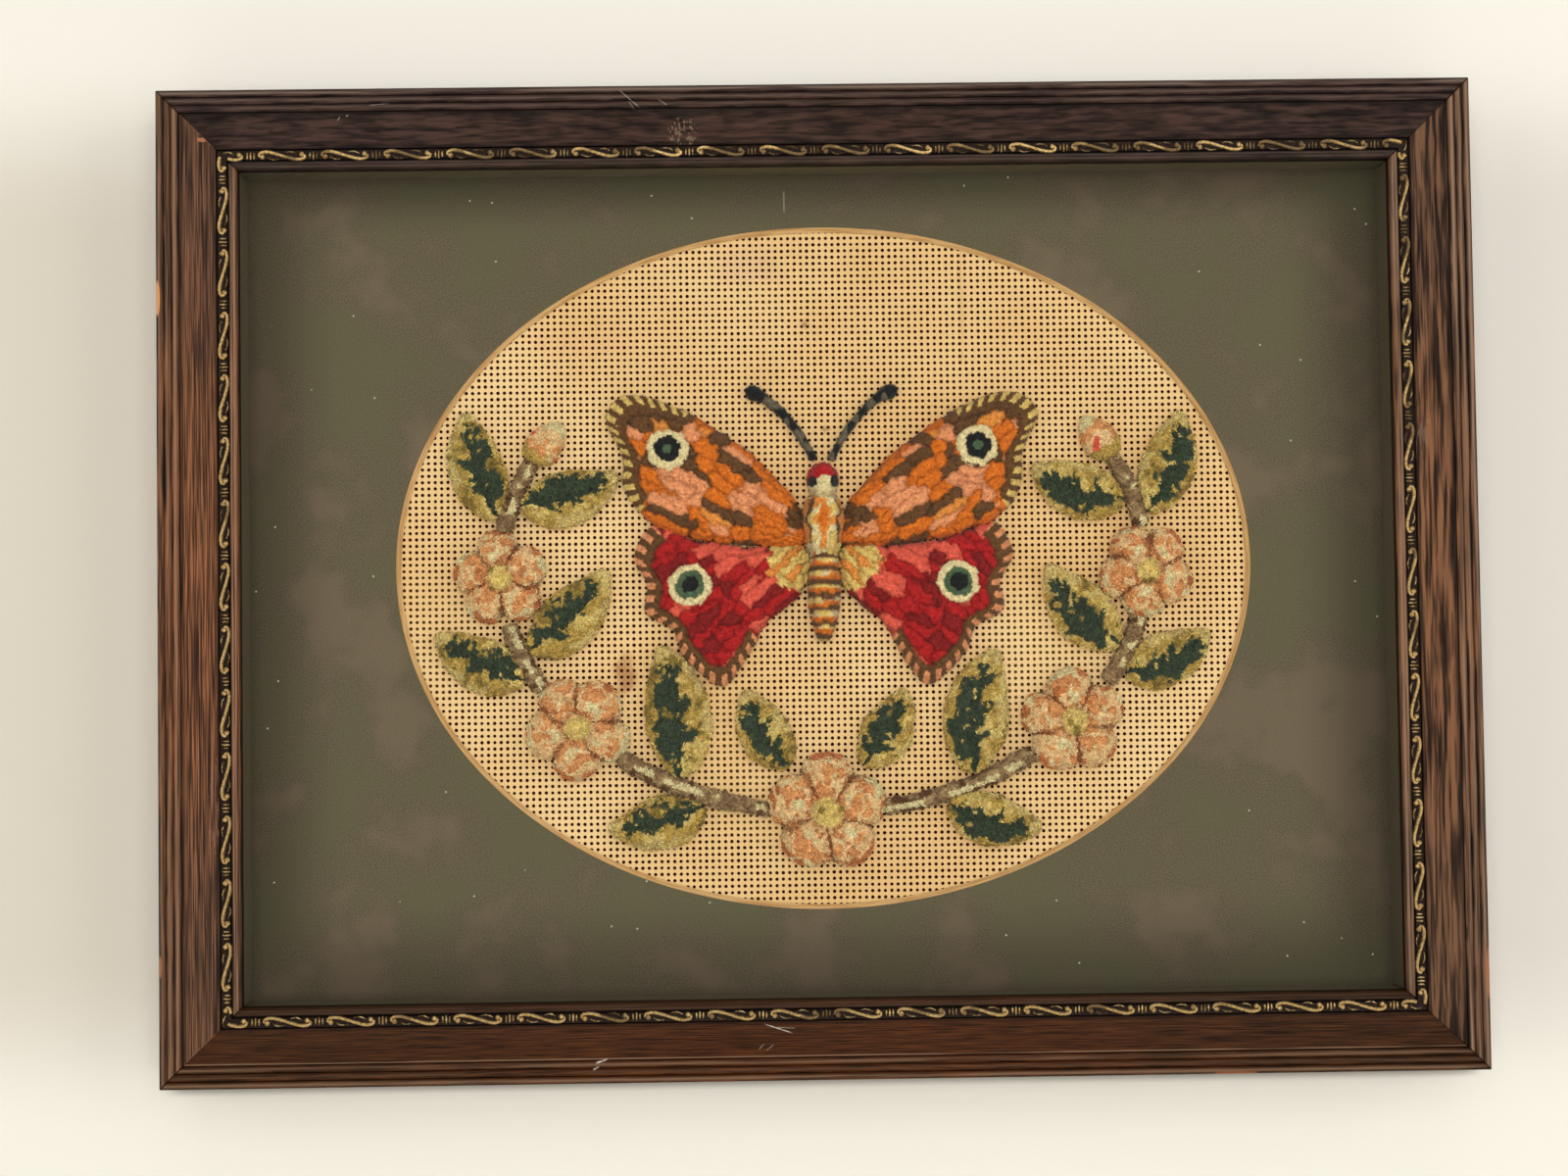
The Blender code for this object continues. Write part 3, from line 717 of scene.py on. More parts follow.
class Nodes:
    """A material's nodes, made and joined by short calls. Colours are three numbers in parts of 255."""

    def __init__(self, name):
        self.material = bpy.data.materials.new(name)
        self.material.use_nodes = True
        self.tree = self.material.node_tree
        self.shader = self.tree.nodes["Principled BSDF"]
        self.output = self.tree.nodes["Material Output"]
        self.place = self.add("TexCoord").outputs["Object"]
        axes = self.add("SeparateXYZ")
        self.feed(axes, n0=self.place)
        self.axes = axes.outputs
        self.plane = None

    def add(self, kind, **settings):
        """A new node."""
        node = self.tree.nodes.new("ShaderNode" + kind)
        for key, value in settings.items():
            setattr(node, key, value)
        return node

    def feed(self, node, **inputs):
        """Set or join a node's inputs, by name or by number with a leading letter n."""
        for key, value in inputs.items():
            numbered = key[0] == "n" and key[1:].isdigit()
            socket = node.inputs[int(key[1:])] if numbered else node.inputs[key.replace("_", " ")]
            if isinstance(value, bpy.types.NodeSocket):
                self.tree.links.new(value, socket)
            elif socket.type == "RGBA" and len(value) == 3:
                socket.default_value = (*linear(value), 1.0)
            else:
                socket.default_value = value

    def finish(self, colour, rough, relief=None, distance=0.0, strength=1.0, gloss=None):
        """Set the shader's main inputs, with bumps of a relief, and give the material."""
        self.feed(self.shader, Base_Color=colour, Roughness=rough)
        if relief is not None:
            bump = self.add("Bump")
            self.feed(bump, Height=relief, Distance=distance, Strength=strength)
            self.feed(self.shader, Normal=bump.outputs[0])
        if gloss is not None:
            self.shader.inputs["Specular IOR Level"].default_value = gloss
        return self.material

    def math(self, operation, first, second=0.0, clamp=False):
        """What one operation makes of two numbers or sockets."""
        node = self.add("Math", operation=operation, use_clamp=clamp)
        self.feed(node, n0=first, n1=second)
        return node.outputs[0]

    def plus(self, first, *others):
        for other in others:
            first = self.math("ADD", first, other)
        return first

    def less(self, first, second):
        return self.math("SUBTRACT", first, second)

    def times(self, first, *others):
        for other in others:
            first = self.math("MULTIPLY", first, other)
        return first

    def size(self, value):
        """How far a value is from 0."""
        return self.math("ABSOLUTE", value)

    def mix(self, share, first, second, blend="MIX"):
        """A mix of two colours, all of the second where the share is 1."""
        node = self.add("Mix", data_type="RGBA", blend_type=blend)
        self.feed(node, n0=share, n6=first, n7=second)
        return node.outputs[2]

    def scaled(self, colour, share):
        """A colour multiplied by shares of red, green and blue."""
        return self.mix(1.0, colour, (*share, 1), "MULTIPLY")

    def flatten(self, across, along, share=1.0):
        """From here on, noise in two dimensions, drawn out along one axis where the share is under 1."""
        joined = self.add("CombineXYZ")
        side = self.plus(self.axes[across], self.axes["Y"])
        self.feed(joined, X=side, Y=self.times(self.axes[along], share))
        self.plane = joined.outputs[0]

    def noise(self, scale, detail, roughness, stretch=None):
        """Noise from 0 to 1, flat where the material is flattened and no stretch is given."""
        node = self.add("TexNoise")
        if self.plane is not None and stretch is None:
            node.noise_dimensions = "2D"
            place = self.plane
        else:
            mapping = self.add("Mapping")
            self.feed(mapping, Vector=self.place, Scale=stretch or (1, 1, 1))
            place = mapping.outputs[0]
        self.feed(node, Vector=place, Scale=scale, Detail=detail, Roughness=roughness)
        return node.outputs["Fac"]

    def ramp(self, source, low, high, first=0.0, last=1.0):
        """A smooth step of a value, from low to high."""
        node = self.add("MapRange", interpolation_type="SMOOTHSTEP")
        self.feed(node, Value=source, n1=low, n2=high, n3=first, n4=last)
        return node.outputs[0]

    def attribute(self, name, output="Fac"):
        """A number or a colour that the mesh's points carry."""
        return self.add("Attribute", attribute_name=name).outputs[output]

    def blot(self, centre, half, ragged):
        """1 inside an upright ellipse seen from the front, 0 outside, its edge ragged. Places are in mm."""
        squares = []
        for axis, middle, reach in zip("XZ", front_place(*centre), half):
            away = self.math("DIVIDE", self.less(self.axes[axis], middle), reach * MM)
            squares.append(self.times(away, away))
        away = self.plus(*squares)
        if ragged is not None:
            away = self.plus(away, self.times(self.less(ragged, 0.5), 3.0))
        return self.ramp(away, 1.25, 0.75)

    def scratch(self, start, end, half):
        """1 along a thin straight line seen from the front, fading at its ends. Places are in mm."""
        start, end = front_place(*start), front_place(*end)
        length = math.dist(start, end)
        run = ((end[0] - start[0]) / length, (end[1] - start[1]) / length)
        dx = self.less(self.axes["X"], (start[0] + end[0]) / 2)
        dz = self.less(self.axes["Z"], (start[1] + end[1]) / 2)
        along = self.plus(self.times(dx, run[0]), self.times(dz, run[1]))
        aside = self.less(self.times(dx, run[1]), self.times(dz, run[0]))
        thin = self.ramp(self.size(aside), half * MM, half * 0.3 * MM)
        return self.times(thin, self.ramp(self.size(along), length / 2, length * 0.3))


def toned(colour, share, more=(0, 0, 0)):
    """A share of a colour, with some more of each part."""
    return [value * share + extra for value, extra in zip(colour, more)]


# Finishes


def oak_material(side):
    """Dark stained oak: fine grain along the rail, dirt and painted shade in the hollows, varnish worn off
    the crests with painted highlights there.
    """
    m = Nodes("oak_" + side)
    across = SIDE_WAYS[side][0]
    along = "X" if across == "Z" else "Z"
    m.flatten(across, along, GRAIN_DRAWN[side])
    dark, light, end_tint = RAIL_TONES[side]
    first, last, open_share = RAIL_GRAIN[side]
    grain, bands, drift, pores = (m.noise(*kind) for kind in OAK_NOISES)
    tone = m.plus(m.times(grain, 0.74), m.times(bands, 0.14), m.times(drift, 0.12))
    colour = m.mix(m.ramp(tone, first, last), dark, light)
    open_grain = m.ramp(pores, 0.56, 0.68)
    colour = m.mix(m.times(open_grain, open_share), colour, toned(dark, 0.5))
    half = half_length(side)
    toward_end = m.ramp(m.size(m.less(m.axes[along], MIDDLE[along])), half * 0.2, half * 0.75)
    colour = m.mix(toward_end, colour, m.scaled(colour, end_tint))
    worn = m.ramp(bands, 0.34, 0.5, 0.25, 1.0)
    wear_and_highlight = m.attribute("wear_and_highlight")
    # the pale worn varnish also stands for painted highlights on the crests and edges
    bared_and_highlit = m.math("MULTIPLY", m.times(wear_and_highlight, worn), 0.75, clamp=True)
    colour = m.mix(bared_and_highlit, colour, toned(light, 0.5, (86, 78, 70)))
    # dirt and painted shade in the reeds' hollows, the groove, the seams and along the lip's inner edge
    colour = m.mix(m.times(m.attribute("dirt_and_shade"), 0.93), colour, toned(dark, 0.25))
    filled = m.times(m.attribute("filler"), m.ramp(worn, 0.2, 0.7, 0.5, 0.95))
    colour = m.mix(filled, colour, SEAM_TONES[side])
    ragged = m.noise(900, 2, 0.6, (1, 1, 1))
    front = m.attribute("front")
    for centre, half, scratches, strength, tint in RAIL_MARKS[side]:
        mask = m.blot(centre, half, ragged if scratches else None)
        if scratches:
            mask = m.times(mask, m.ramp(m.noise(1500, 1, 0.5, scratches), 0.5, 0.6))
        colour = m.mix(m.times(mask, strength, front), colour, tint)
    for start, end, half, strength in RAIL_SCRATCHES[side]:
        mask = m.times(m.scratch(start, end, half), m.ramp(ragged, 0.3, 0.55, 0.3, 1.0))
        colour = m.mix(m.times(mask, strength, front), colour, SCRATCH_TONE)
    rough = m.less(m.ramp(open_grain, 0.0, 1.0, 0.46, 0.7), m.times(wear_and_highlight, 0.2))
    return m.finish(colour, rough, m.less(m.times(grain, 0.5), open_grain), 0.1 * MM, 0.6, gloss=0.2)


def gilt_material(side):
    """Gold rubbed through to a near-black ground, most in the hollows and here and there along the rail. The
    gold is lighter on its crests, with glints, as painted highlights, and the ground's near black is partly
    painted shade.
    """
    m = Nodes("rubbed_gilt_" + side)
    rubbed = m.noise(70, 2, 0.6)
    fine = m.noise(1500, 2, 0.6)
    rise = m.attribute("rise")
    worn = GILT_RUBBED[side]
    kept = m.ramp(rubbed, worn, worn + 0.1, 0.2, 1.0)
    shown = m.times(m.ramp(rise, 0.2, 0.55), kept, m.ramp(fine, 0.3, 0.44, 0.25, 1.0))
    gold = m.mix(m.ramp(rise, 0.45, 1.0), *GOLD_TONES)
    gold = m.mix(m.ramp(fine, 0.42, 0.6, 0.0, 0.5), gold, GOLD_PAINTED_GLINT)
    ground = m.mix(m.ramp(fine, 0.4, 0.65), *GILT_GROUND_TONES)
    ground = m.mix(m.ramp(rise, 0.15, 0.8, 0.0, 0.6), ground, GILT_FLANK)
    m.feed(m.shader, Metallic=m.times(shown, 0.6))
    rough = m.ramp(shown, 0.0, 1.0, 0.6, 0.3)
    return m.finish(m.mix(shown, ground, gold), rough, fine, 0.08 * MM, 0.5, gloss=0.3)


def olive_material(name, low, high, shaded):
    """Olive-grey board with a short fibrous speckle. Shaded, it is darker near the frame as a painted shadow,
    and dusty.
    """
    m = Nodes(name)
    m.flatten("X", "Z")
    fibres = m.noise(2600, 2, 0.75)
    cloud = m.noise(26, 3, 0.6)
    colour = m.mix(m.ramp(fibres, 0.34, 0.66), low, high)
    if shaded:
        colour = m.mix(m.ramp(cloud, 0.44, 0.66, 0.0, 0.6), colour, MAT_GREENISH)
        colour = m.mix(m.ramp(cloud, 0.48, 0.34, 0.0, 0.6), colour, MAT_WARM)
        # painted shadow of the moulding on the mat, darkest at the frame
        lit = 1.0
        for side, reach in MAT_PAINTED_SHADOW_REACH.items():
            axis, way = SIDE_WAYS[side]
            edge = MIDDLE[axis] + way * (HALF_SIZE[axis] - RAIL_WIDTH)
            lit = m.times(lit, m.ramp(m.axes[axis], edge, edge - way * reach))
        colour = m.mix(lit, m.scaled(colour, MAT_PAINTED_SHADOW), colour)
        dust = m.add("TexVoronoi", feature="F1", voronoi_dimensions="2D")
        m.feed(dust, Vector=m.plane, Scale=60.0)
        specks = m.times(m.ramp(dust.outputs["Distance"], 0.02, 0.01), m.ramp(cloud, 0.55, 0.57))
        colour = m.mix(m.times(specks, 0.7), colour, DUST_TONE)
        for start, end, half, strength in MAT_SCUFFS:
            colour = m.mix(m.times(m.scratch(start, end, half), strength), colour, SCUFF_TONE)
    return m.finish(colour, 0.92, fibres, 0.05 * MM, 0.4)


def core_material():
    """The mat's cut edge, cream board gone tan."""
    m = Nodes("mat_core")
    layers = m.noise(300, 2, 0.6, (0.3, 6, 0.3))
    colour = m.mix(m.ramp(layers, 0.35, 0.65), *CORE_TONES)
    return m.finish(colour, 0.85, layers, 0.05 * MM, 0.5)


def card_material():
    """Aged cream card; its stains are painted on its points."""
    m = Nodes("aged_card")
    m.flatten("X", "Z")
    fine = m.noise(1200, 2, 0.6)
    colour = m.mix(m.ramp(fine, 0.42, 0.7, 0.0, 0.14), m.attribute("stain", "Color"), CARD_FLECK)
    return m.finish(colour, 0.8, fine, 0.03 * MM, 0.5)


def stained(x, z):
    """The card's colour at places from the oval's centre, with its soft stains."""
    cloud = 0.6 * noise(x, z, 34 * MM, 71) + 0.3 * noise(x, z, 14 * MM, 72) + 0.1 * noise(x, z, 5 * MM, 73)
    ragged = 0.7 * noise(x, z, 3.5 * MM, 74) + 0.3 * noise(x, z, 1.6 * MM, 75)
    tone = np.clip(0.5 + 0.9 * cloud, 0, 1)[:, None]
    colours = linear(CARD_TONES[0]) * (1 - tone) + linear(CARD_TONES[1]) * tone
    for centre_x, centre_z, half_width, half_height, stain, strength in CARD_STAINS:
        away = ((x / MM - centre_x) / half_width) ** 2 + ((z / MM - centre_z) / half_height) ** 2
        share = strength * np.clip(1.25 - 0.75 * (away + 0.9 * ragged), 0, 1)[:, None]
        colours = colours * (1 - share) + linear(stain) * share
    return colours


def hole_material():
    """The inside of the punched holes: painted near black as the shade behind the card, but olive as painted
    light that comes through from behind.
    """
    m = Nodes("card_hole")
    m.flatten("X", "Z")
    colour = m.mix(m.ramp(m.noise(17, 1, 0.55), 0.58, 0.66, 0.0, 0.7), *HOLE_SHADE_AND_LIGHT_TONES)
    return m.finish(colour, 1.0, gloss=0.0)


def wool_material():
    """Wool pile. Each strand has its own colour, with painted shade at its root."""
    m = Nodes("wool_pile")
    fine = m.noise(2300, 2, 0.6)
    strand = m.attribute("wool", "Color")
    shaded = m.mix(1.0, strand, WOOL_FLECK, "MULTIPLY")
    m.shader.inputs["Sheen Weight"].default_value = WOOL_SHEEN
    m.shader.inputs["Sheen Roughness"].default_value = WOOL_SHEEN_ROUGH
    colour = m.mix(m.ramp(fine, 0.35, 0.65, 0.0, 0.6), strand, shaded)
    return m.finish(colour, 0.95, fine, 0.15 * MM, 0.7, gloss=0.2)


def backing_material():
    """Brown strawboard with short fibres."""
    m = Nodes("strawboard")
    m.flatten("Z", "X", 0.5)
    fibres = m.noise(700, 3, 0.65)
    colour = m.mix(m.ramp(fibres, 0.3, 0.7), *BACKING_TONES)
    colour = m.mix(m.ramp(m.noise(9, 3, 0.6), 0.4, 0.7, 0.0, 0.4), colour, BACKING_CLOUD)
    return m.finish(colour, 0.9, fibres, 0.1 * MM, 0.5)


def glass_material():
    """Thin clear glass that shows what is behind it and mirrors a little."""
    m = Nodes("picture_glass")
    clear, mirror, facing = m.add("BsdfTransparent"), m.add("BsdfGlossy"), m.add("Fresnel")
    pane = m.add("MixShader")
    clear.inputs["Color"].default_value = GLASS_TINT
    mirror.inputs["Roughness"].default_value = GLASS_ROUGH
    facing.inputs["IOR"].default_value = GLASS_IOR
    m.feed(pane, n0=m.times(facing.outputs[0], GLASS_MIRROR), n1=clear.outputs[0], n2=mirror.outputs[0])
    m.feed(m.output, Surface=pane.outputs[0])
    m.tree.nodes.remove(m.shader)
    return m.material


# The frame


def on_side(side, along, inset, depth):
    """A point of one side of the frame, from its middle, its outer edge and the front plane."""
    axis, way = SIDE_WAYS[side]
    away = way * (HALF_SIZE[axis] - inset)
    if axis == "Z":
        return at(way * along, away, depth)
    return at(away, -way * along, depth)


def half_length(side):
    """Half the length of a side's rail, along its outer edge."""
    return HALF_SIZE["X" if SIDE_WAYS[side][0] == "Z" else "Z"]


def rail_profile(side):
    """One side's moulding: inset, depth, how much its varnish wears there with painted highlights, and how
    much dirt and painted shade it has.
    """
    *reed_wear_and_highlight, edge_wear_and_highlight = REED_WEAR_AND_HIGHLIGHT[side]
    edge_dirt_and_shade = max(0.0, 0.9 - edge_wear_and_highlight)
    dull = LIP_DULL[side]
    lip = GROOVE_START + GROOVE_WIDTH
    rebate = RAIL_WIDTH - REBATE_WIDTH
    points = [
        (0, DEPTH, 0.2, 0.0),
        (0, DEPTH * 0.5, 0.1, 0.0),
        (0, REED_HEIGHT * 2.2, 0.15, 0.0),
        (0.1 * MM, REED_HEIGHT * 1.2, 0.6, 0.0),
    ]
    for number in range(REED_COUNT):
        for step in range(1 if number == 0 else 0, REED_STEPS):
            turn = math.pi * step / REED_STEPS
            inset = REEDS_WIDTH / REED_COUNT * (number + (1 - math.cos(turn)) / 2)
            crest = math.sin(turn)
            outside = number == 0 and step < REED_STEPS / 2
            hollow = 0.0 if outside else max(0.0, 1 - crest / REED_HOLLOW[side])
            points.append((inset, REED_HEIGHT * (1 - crest), reed_wear_and_highlight[number] * crest**14, hollow))
    points += [
        (REEDS_WIDTH, REED_HEIGHT, 0.0, 1.0),
        (REEDS_WIDTH + 0.1 * MM, REED_HEIGHT * 1.1, 0.0, 1.0),
        (FLAT_START - 0.12 * MM, FLAT_START_DEPTH + 0.05 * MM, edge_wear_and_highlight, edge_dirt_and_shade),
        (FLAT_START, FLAT_START_DEPTH, edge_wear_and_highlight, edge_dirt_and_shade),
    ]
    for step in range(FLAT_STEPS + 1):
        share = max(step / FLAT_STEPS, 0.04)
        inset = FLAT_START + (GROOVE_START - FLAT_START) * share
        depth = FLAT_START_DEPTH + (FLAT_END_DEPTH - FLAT_START_DEPTH) * share
        hollow = FLAT_HOLLOW * math.sin(math.pi * share)
        dirt_and_shade = 0.7 if step == FLAT_STEPS else edge_dirt_and_shade * 0.8 if step == 0 else 0.0
        points.append((inset, depth + hollow, 0.03, dirt_and_shade))
    points += [(GROOVE_START + 0.02 * MM, GROOVE_DEPTH, 0.0, 1.0), (lip - 0.02 * MM, GROOVE_DEPTH, 0.0, 1.0)]
    for step in range(LIP_STEPS + 1):
        turn = math.pi / 2 * step / LIP_STEPS
        inset = lip + (RAIL_WIDTH - lip) * math.sin(turn)
        depth = LIP_TOP_DEPTH + (LIP_EDGE_DEPTH - LIP_TOP_DEPTH) * (1 - math.cos(turn))
        points.append((inset, depth, LIP_WEAR_AND_HIGHLIGHT[step] * (1 - dull), max(LIP_DIRT_AND_SHADE[step], dull)))
    points.append((RAIL_WIDTH, REBATE_DEPTH, 0.0, 1.0))
    return points + [(rebate, REBATE_DEPTH, 0.0, 0.0), (rebate, DEPTH, 0.0, 0.0)]


def add_rail(side):
    """One rail, with a fine open seam at each mitre, and its wear with painted highlights, its dirt with
    painted shade and its filler painted on its points.
    """
    profile = rail_profile(side)
    reach = half_length(side) - MITRE_GAP
    count = int(2 * reach / RAIL_STATION)
    shares = [2 * station / count - 1 for station in range(1, count)]
    shares = [-1.0, SEAM_WIDTH / reach - 1.0, *shares, 1.0 - SEAM_WIDTH / reach, 1.0]
    points, looks = [], []
    for share in shares:
        end = abs(share) == 1.0
        # worn carries wear with painted highlights, and the last value dirt with painted shade
        for number, (inset, depth, worn, dirt_and_shade_share) in enumerate(profile):
            along = share * (reach - inset)
            front = depth < LIP_EDGE_DEPTH and inset > 0
            flat = FLAT_START < inset < GROOVE_START
            if front and end:
                depth += 0 if flat else SEAM_DEPTH
            elif front:
                depth += WANDER * float(noise(np.array(along), np.array(number * WANDER_ROW), WANDER_SIZE, 3))
            points.append(on_side(side, along, inset, depth))
            dull = REED_DULL[side] if inset < REEDS_WIDTH else 0.0
            dirt_and_shade = 1.0 if end and not flat else max(dirt_and_shade_share, dull)
            looks.append((worn, dirt_and_shade, float(end and flat), float(front)))
    mesh = closed_mesh("rail_" + side, points, tube_faces(len(shares), len(profile)))
    for name, values in zip(("wear_and_highlight", "dirt_and_shade", "filler", "front"), zip(*looks)):
        put_values(mesh, name, values)
    new_piece("oak_rail_" + side, mesh, "rail_" + side, [oak_material(side)])
    mesh.set_sharp_from_angle(angle=RAIL_CREASE)


def tube(rows, sides):
    """Points and faces of a closed tube along rows of along, across and radius, a little taller than wide."""
    path = np.stack([rows[:, 0], rows[:, 1], np.full(len(rows), GILT_RISE)], 1)
    up = np.tile([0.0, 0.0, 1.0], (len(rows), 1))
    aside = unit(np.cross(unit(np.gradient(path, axis=0)), up))
    points = path[:, None] + rings(aside, up * GILT_TALLER, sides) * rows[:, 2, None, None]
    return points.reshape(-1, 3), tube_faces(len(rows), sides)


def gilt_parts(middle):
    """The raised parts of one repeat, each as rows of along, across and radius, with its number of sides."""
    shift = np.array([middle, 0.0, 0.0])
    parts = [(shift + eased(SCROLL, SCROLL_STEPS) * MM, 6)]
    along, across, radius = SCROLL_BALL
    steps = np.array([-0.95, -0.6, 0.0, 0.6, 0.95])
    ball = np.stack([along + 0 * steps, across + radius * steps, radius * np.sqrt(1 - steps**2)], 1)
    for way in (1, -1):
        turned = np.array([way, way, 1.0]) * MM
        parts.append((shift + eased(SCROLL_LEAF, 6) * turned, 5))
        parts.append((shift + ball * turned, 7))
    shift = np.array([middle + GILT_PITCH / 2, 0.0, 0.0])
    steps = np.array([-1.0, -0.75, 0.0, 0.75, 1.0])
    for along, tall, radius in KNOT:
        rib = np.stack([0 * steps + along, steps * tall, radius * np.sqrt(1.1 - steps**2)], 1)
        parts.append((shift + rib * MM, 5))
    return parts


def add_gilt_strip(side):
    """The ornament's ground with its scrolls and knots, cut off at the mitres."""
    middle = GROOVE_START + GROOVE_WIDTH / 2
    half = GROOVE_WIDTH / 2 - GILT_FIT
    inner = GROOVE_WIDTH / 2 - GILT_LIP_FIT
    back = GROOVE_DEPTH - GILT_FIT
    reach = half_length(side) - MITRE_GAP
    section = (
        (-half, back),
        (-half, GILT_GROUND - 0.15 * MM),
        (-half * 0.7, GILT_GROUND),
        (inner * 0.7, GILT_GROUND),
        (inner, GILT_GROUND - 0.05 * MM),
        (inner, back),
    )
    count = int(2 * reach / GILT_STATION)
    points = []
    for station in range(count + 1):
        share = 2 * station / count - 1
        for across, depth in section:
            inset = middle + across
            points.append(on_side(side, share * (reach - inset), inset, depth))
    rise = [0.0] * len(points)
    faces = tube_faces(count + 1, len(section))
    number = int(2 * reach / GILT_PITCH) + 1
    for k in range(number + 1):
        for rows, sides in gilt_parts((k - number / 2) * GILT_PITCH):
            rows = rows[np.abs(rows[:, 0]) + rows[:, 2] < reach - middle + rows[:, 1]]
            if len(rows) < 4:
                continue
            start = len(points)
            part_points, part_faces = tube(rows, sides)
            for along, across, up in part_points:
                points.append(on_side(side, along, middle - across, GILT_GROUND - up))
                rise.append(min(max(up / GILT_TALL, 0.0), 1.0))
            faces += [[start + i for i in face] for face in part_faces]
    mesh = closed_mesh("gilt_" + side, points, faces)
    put_values(mesh, "rise", rise)
    new_piece("gilt_ornament_" + side, mesh, "gilt_strip_" + side, [gilt_material(side)])
    mesh.set_sharp_from_angle(angle=GILT_CREASE)


# The mat and the card


def rectangle_reach(turn, half_width, half_height):
    """Where a ray from the oval's centre meets the board's edge."""
    run = (math.cos(turn), math.sin(turn))
    tries = []
    for step, limit, start in zip(run, (half_width, half_height), (OVAL_X, OVAL_Z)):
        if abs(step) > 1e-9:
            tries.append((math.copysign(limit, step) - start) / step)
    return OVAL_X + run[0] * min(tries), OVAL_Z + run[1] * min(tries)


def oval_point(turn, inwards, depth):
    """A point of the mat's cut edge, whose line wanders a little."""
    wander = 0.12 * MM * math.sin(3 * turn + 1) + 0.05 * MM * math.sin(11 * turn)
    # the angle of the ray from the centre is kept, so the rows stay in step
    a, b = OVAL_HALF_WIDTH + wander - inwards, OVAL_HALF_HEIGHT + wander - inwards
    away = 1 / math.sqrt((math.cos(turn) / a) ** 2 + (math.sin(turn) / b) ** 2)
    return at(OVAL_X + away * math.cos(turn), OVAL_Z + away * math.sin(turn), depth)


def add_mat(board, core):
    """The mat with its bevelled oval; the cut edge shows the board's core."""
    low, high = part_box("mat")
    front, back = low.y - CAD_LOW.y, high.y - CAD_LOW.y
    half_width, half_height = (high.x - low.x) / 2, (high.z - low.z) / 2
    turns = [2 * math.pi * step / OVAL_STEPS for step in range(OVAL_STEPS)]
    for sx in (1, -1):
        for sz in (1, -1):
            turns.append(math.atan2(sz * half_height - OVAL_Z, sx * half_width - OVAL_X) % (2 * math.pi))
    turns.sort()
    points = []
    for depth in (back, front):
        points += [at(*rectangle_reach(turn, half_width, half_height), depth) for turn in turns]
    for inwards, depth in (
        (-OVAL_ROUND, front),
        (OVAL_ROUND * 0.4, front + OVAL_ROUND * 0.6),
        (OVAL_BEVEL - OVAL_ROUND, back - OVAL_ROUND),
        (OVAL_BEVEL, back),
    ):
        points += [oval_point(turn, inwards, depth) for turn in turns]
    columns = len(turns)
    last = len(points) - columns
    faces = face_rows(len(points) // columns, columns)
    faces += [[last + j, last + (j + 1) % columns, (j + 1) % columns, j] for j in range(columns)]
    mesh = closed_mesh("mat", points, faces)
    new_piece("oval_mat", mesh, "mat", [board, core])
    for polygon in mesh.polygons[3 * columns:5 * columns]:
        polygon.material_index = 1
    mesh.set_sharp_from_angle(angle=MAT_CREASE)


def card_lines(low, high):
    """The grid between the card's holes, along X and along Z, with the card's own edges outside it."""
    lines = []
    for middle, half, first, last in (
        (OVAL_X, OVAL_HALF_WIDTH, low.x, high.x),
        (CENTRE_Z + OVAL_Z, OVAL_HALF_HEIGHT, low.z, high.z),
    ):
        count = int((half + HOLE_MARGIN) / HOLE_PITCH) + 1
        steps = (np.arange(-count, count + 2) - 0.5) * HOLE_PITCH
        lines.append(np.concatenate([[first], middle + steps, [last]]))
    return lines


def hole_points(mid_x, mid_z, i, j, front):
    """The rims of all holes and the bottoms of their pits, each hole a little off its place and size."""
    turns = np.pi / 4 + 2 * np.pi * np.arange(HOLE_SIDES) / HOLE_SIDES
    sizes = HOLE_RADIUS * (1 + HOLE_VARIES * (2 * hashed(i, j, 5) - 1))
    mid_x = mid_x + HOLE_SHIFT * (2 * hashed(i, j, 6) - 1)
    mid_z = mid_z + HOLE_SHIFT * (2 * hashed(i, j, 8) - 1)
    rim_x = mid_x[:, None] + sizes[:, None] * np.cos(turns)
    rim_z = mid_z[:, None] + sizes[:, None] * np.sin(turns)
    rim = np.stack([rim_x, np.full_like(rim_x, front), rim_z], -1)
    deep = np.stack([mid_x, np.full_like(mid_x, front + HOLE_DEPTH), mid_z], -1)
    return np.concatenate([rim, deep[:, None]], 1).reshape(-1, 3)


def hole_faces(cell, base):
    """Faces from each cell's corners to its hole's rim, and from the rim to the bottom of its pit."""
    ring, pit = [], []
    for k in range(4):
        a, b, c = (base + (2 * k + step) % HOLE_SIDES for step in range(3))
        near, following = cell[:, k], cell[:, (k + 1) % 4]
        ring += [np.stack(face, -1) for face in ((near, b, a), (near, following, b), (following, c, b))]
    for k in range(HOLE_SIDES):
        pit.append(np.stack([base + k, base + (k + 1) % HOLE_SIDES, base + HOLE_SIDES], -1))
    return np.concatenate(ring).tolist(), np.concatenate(pit).tolist()


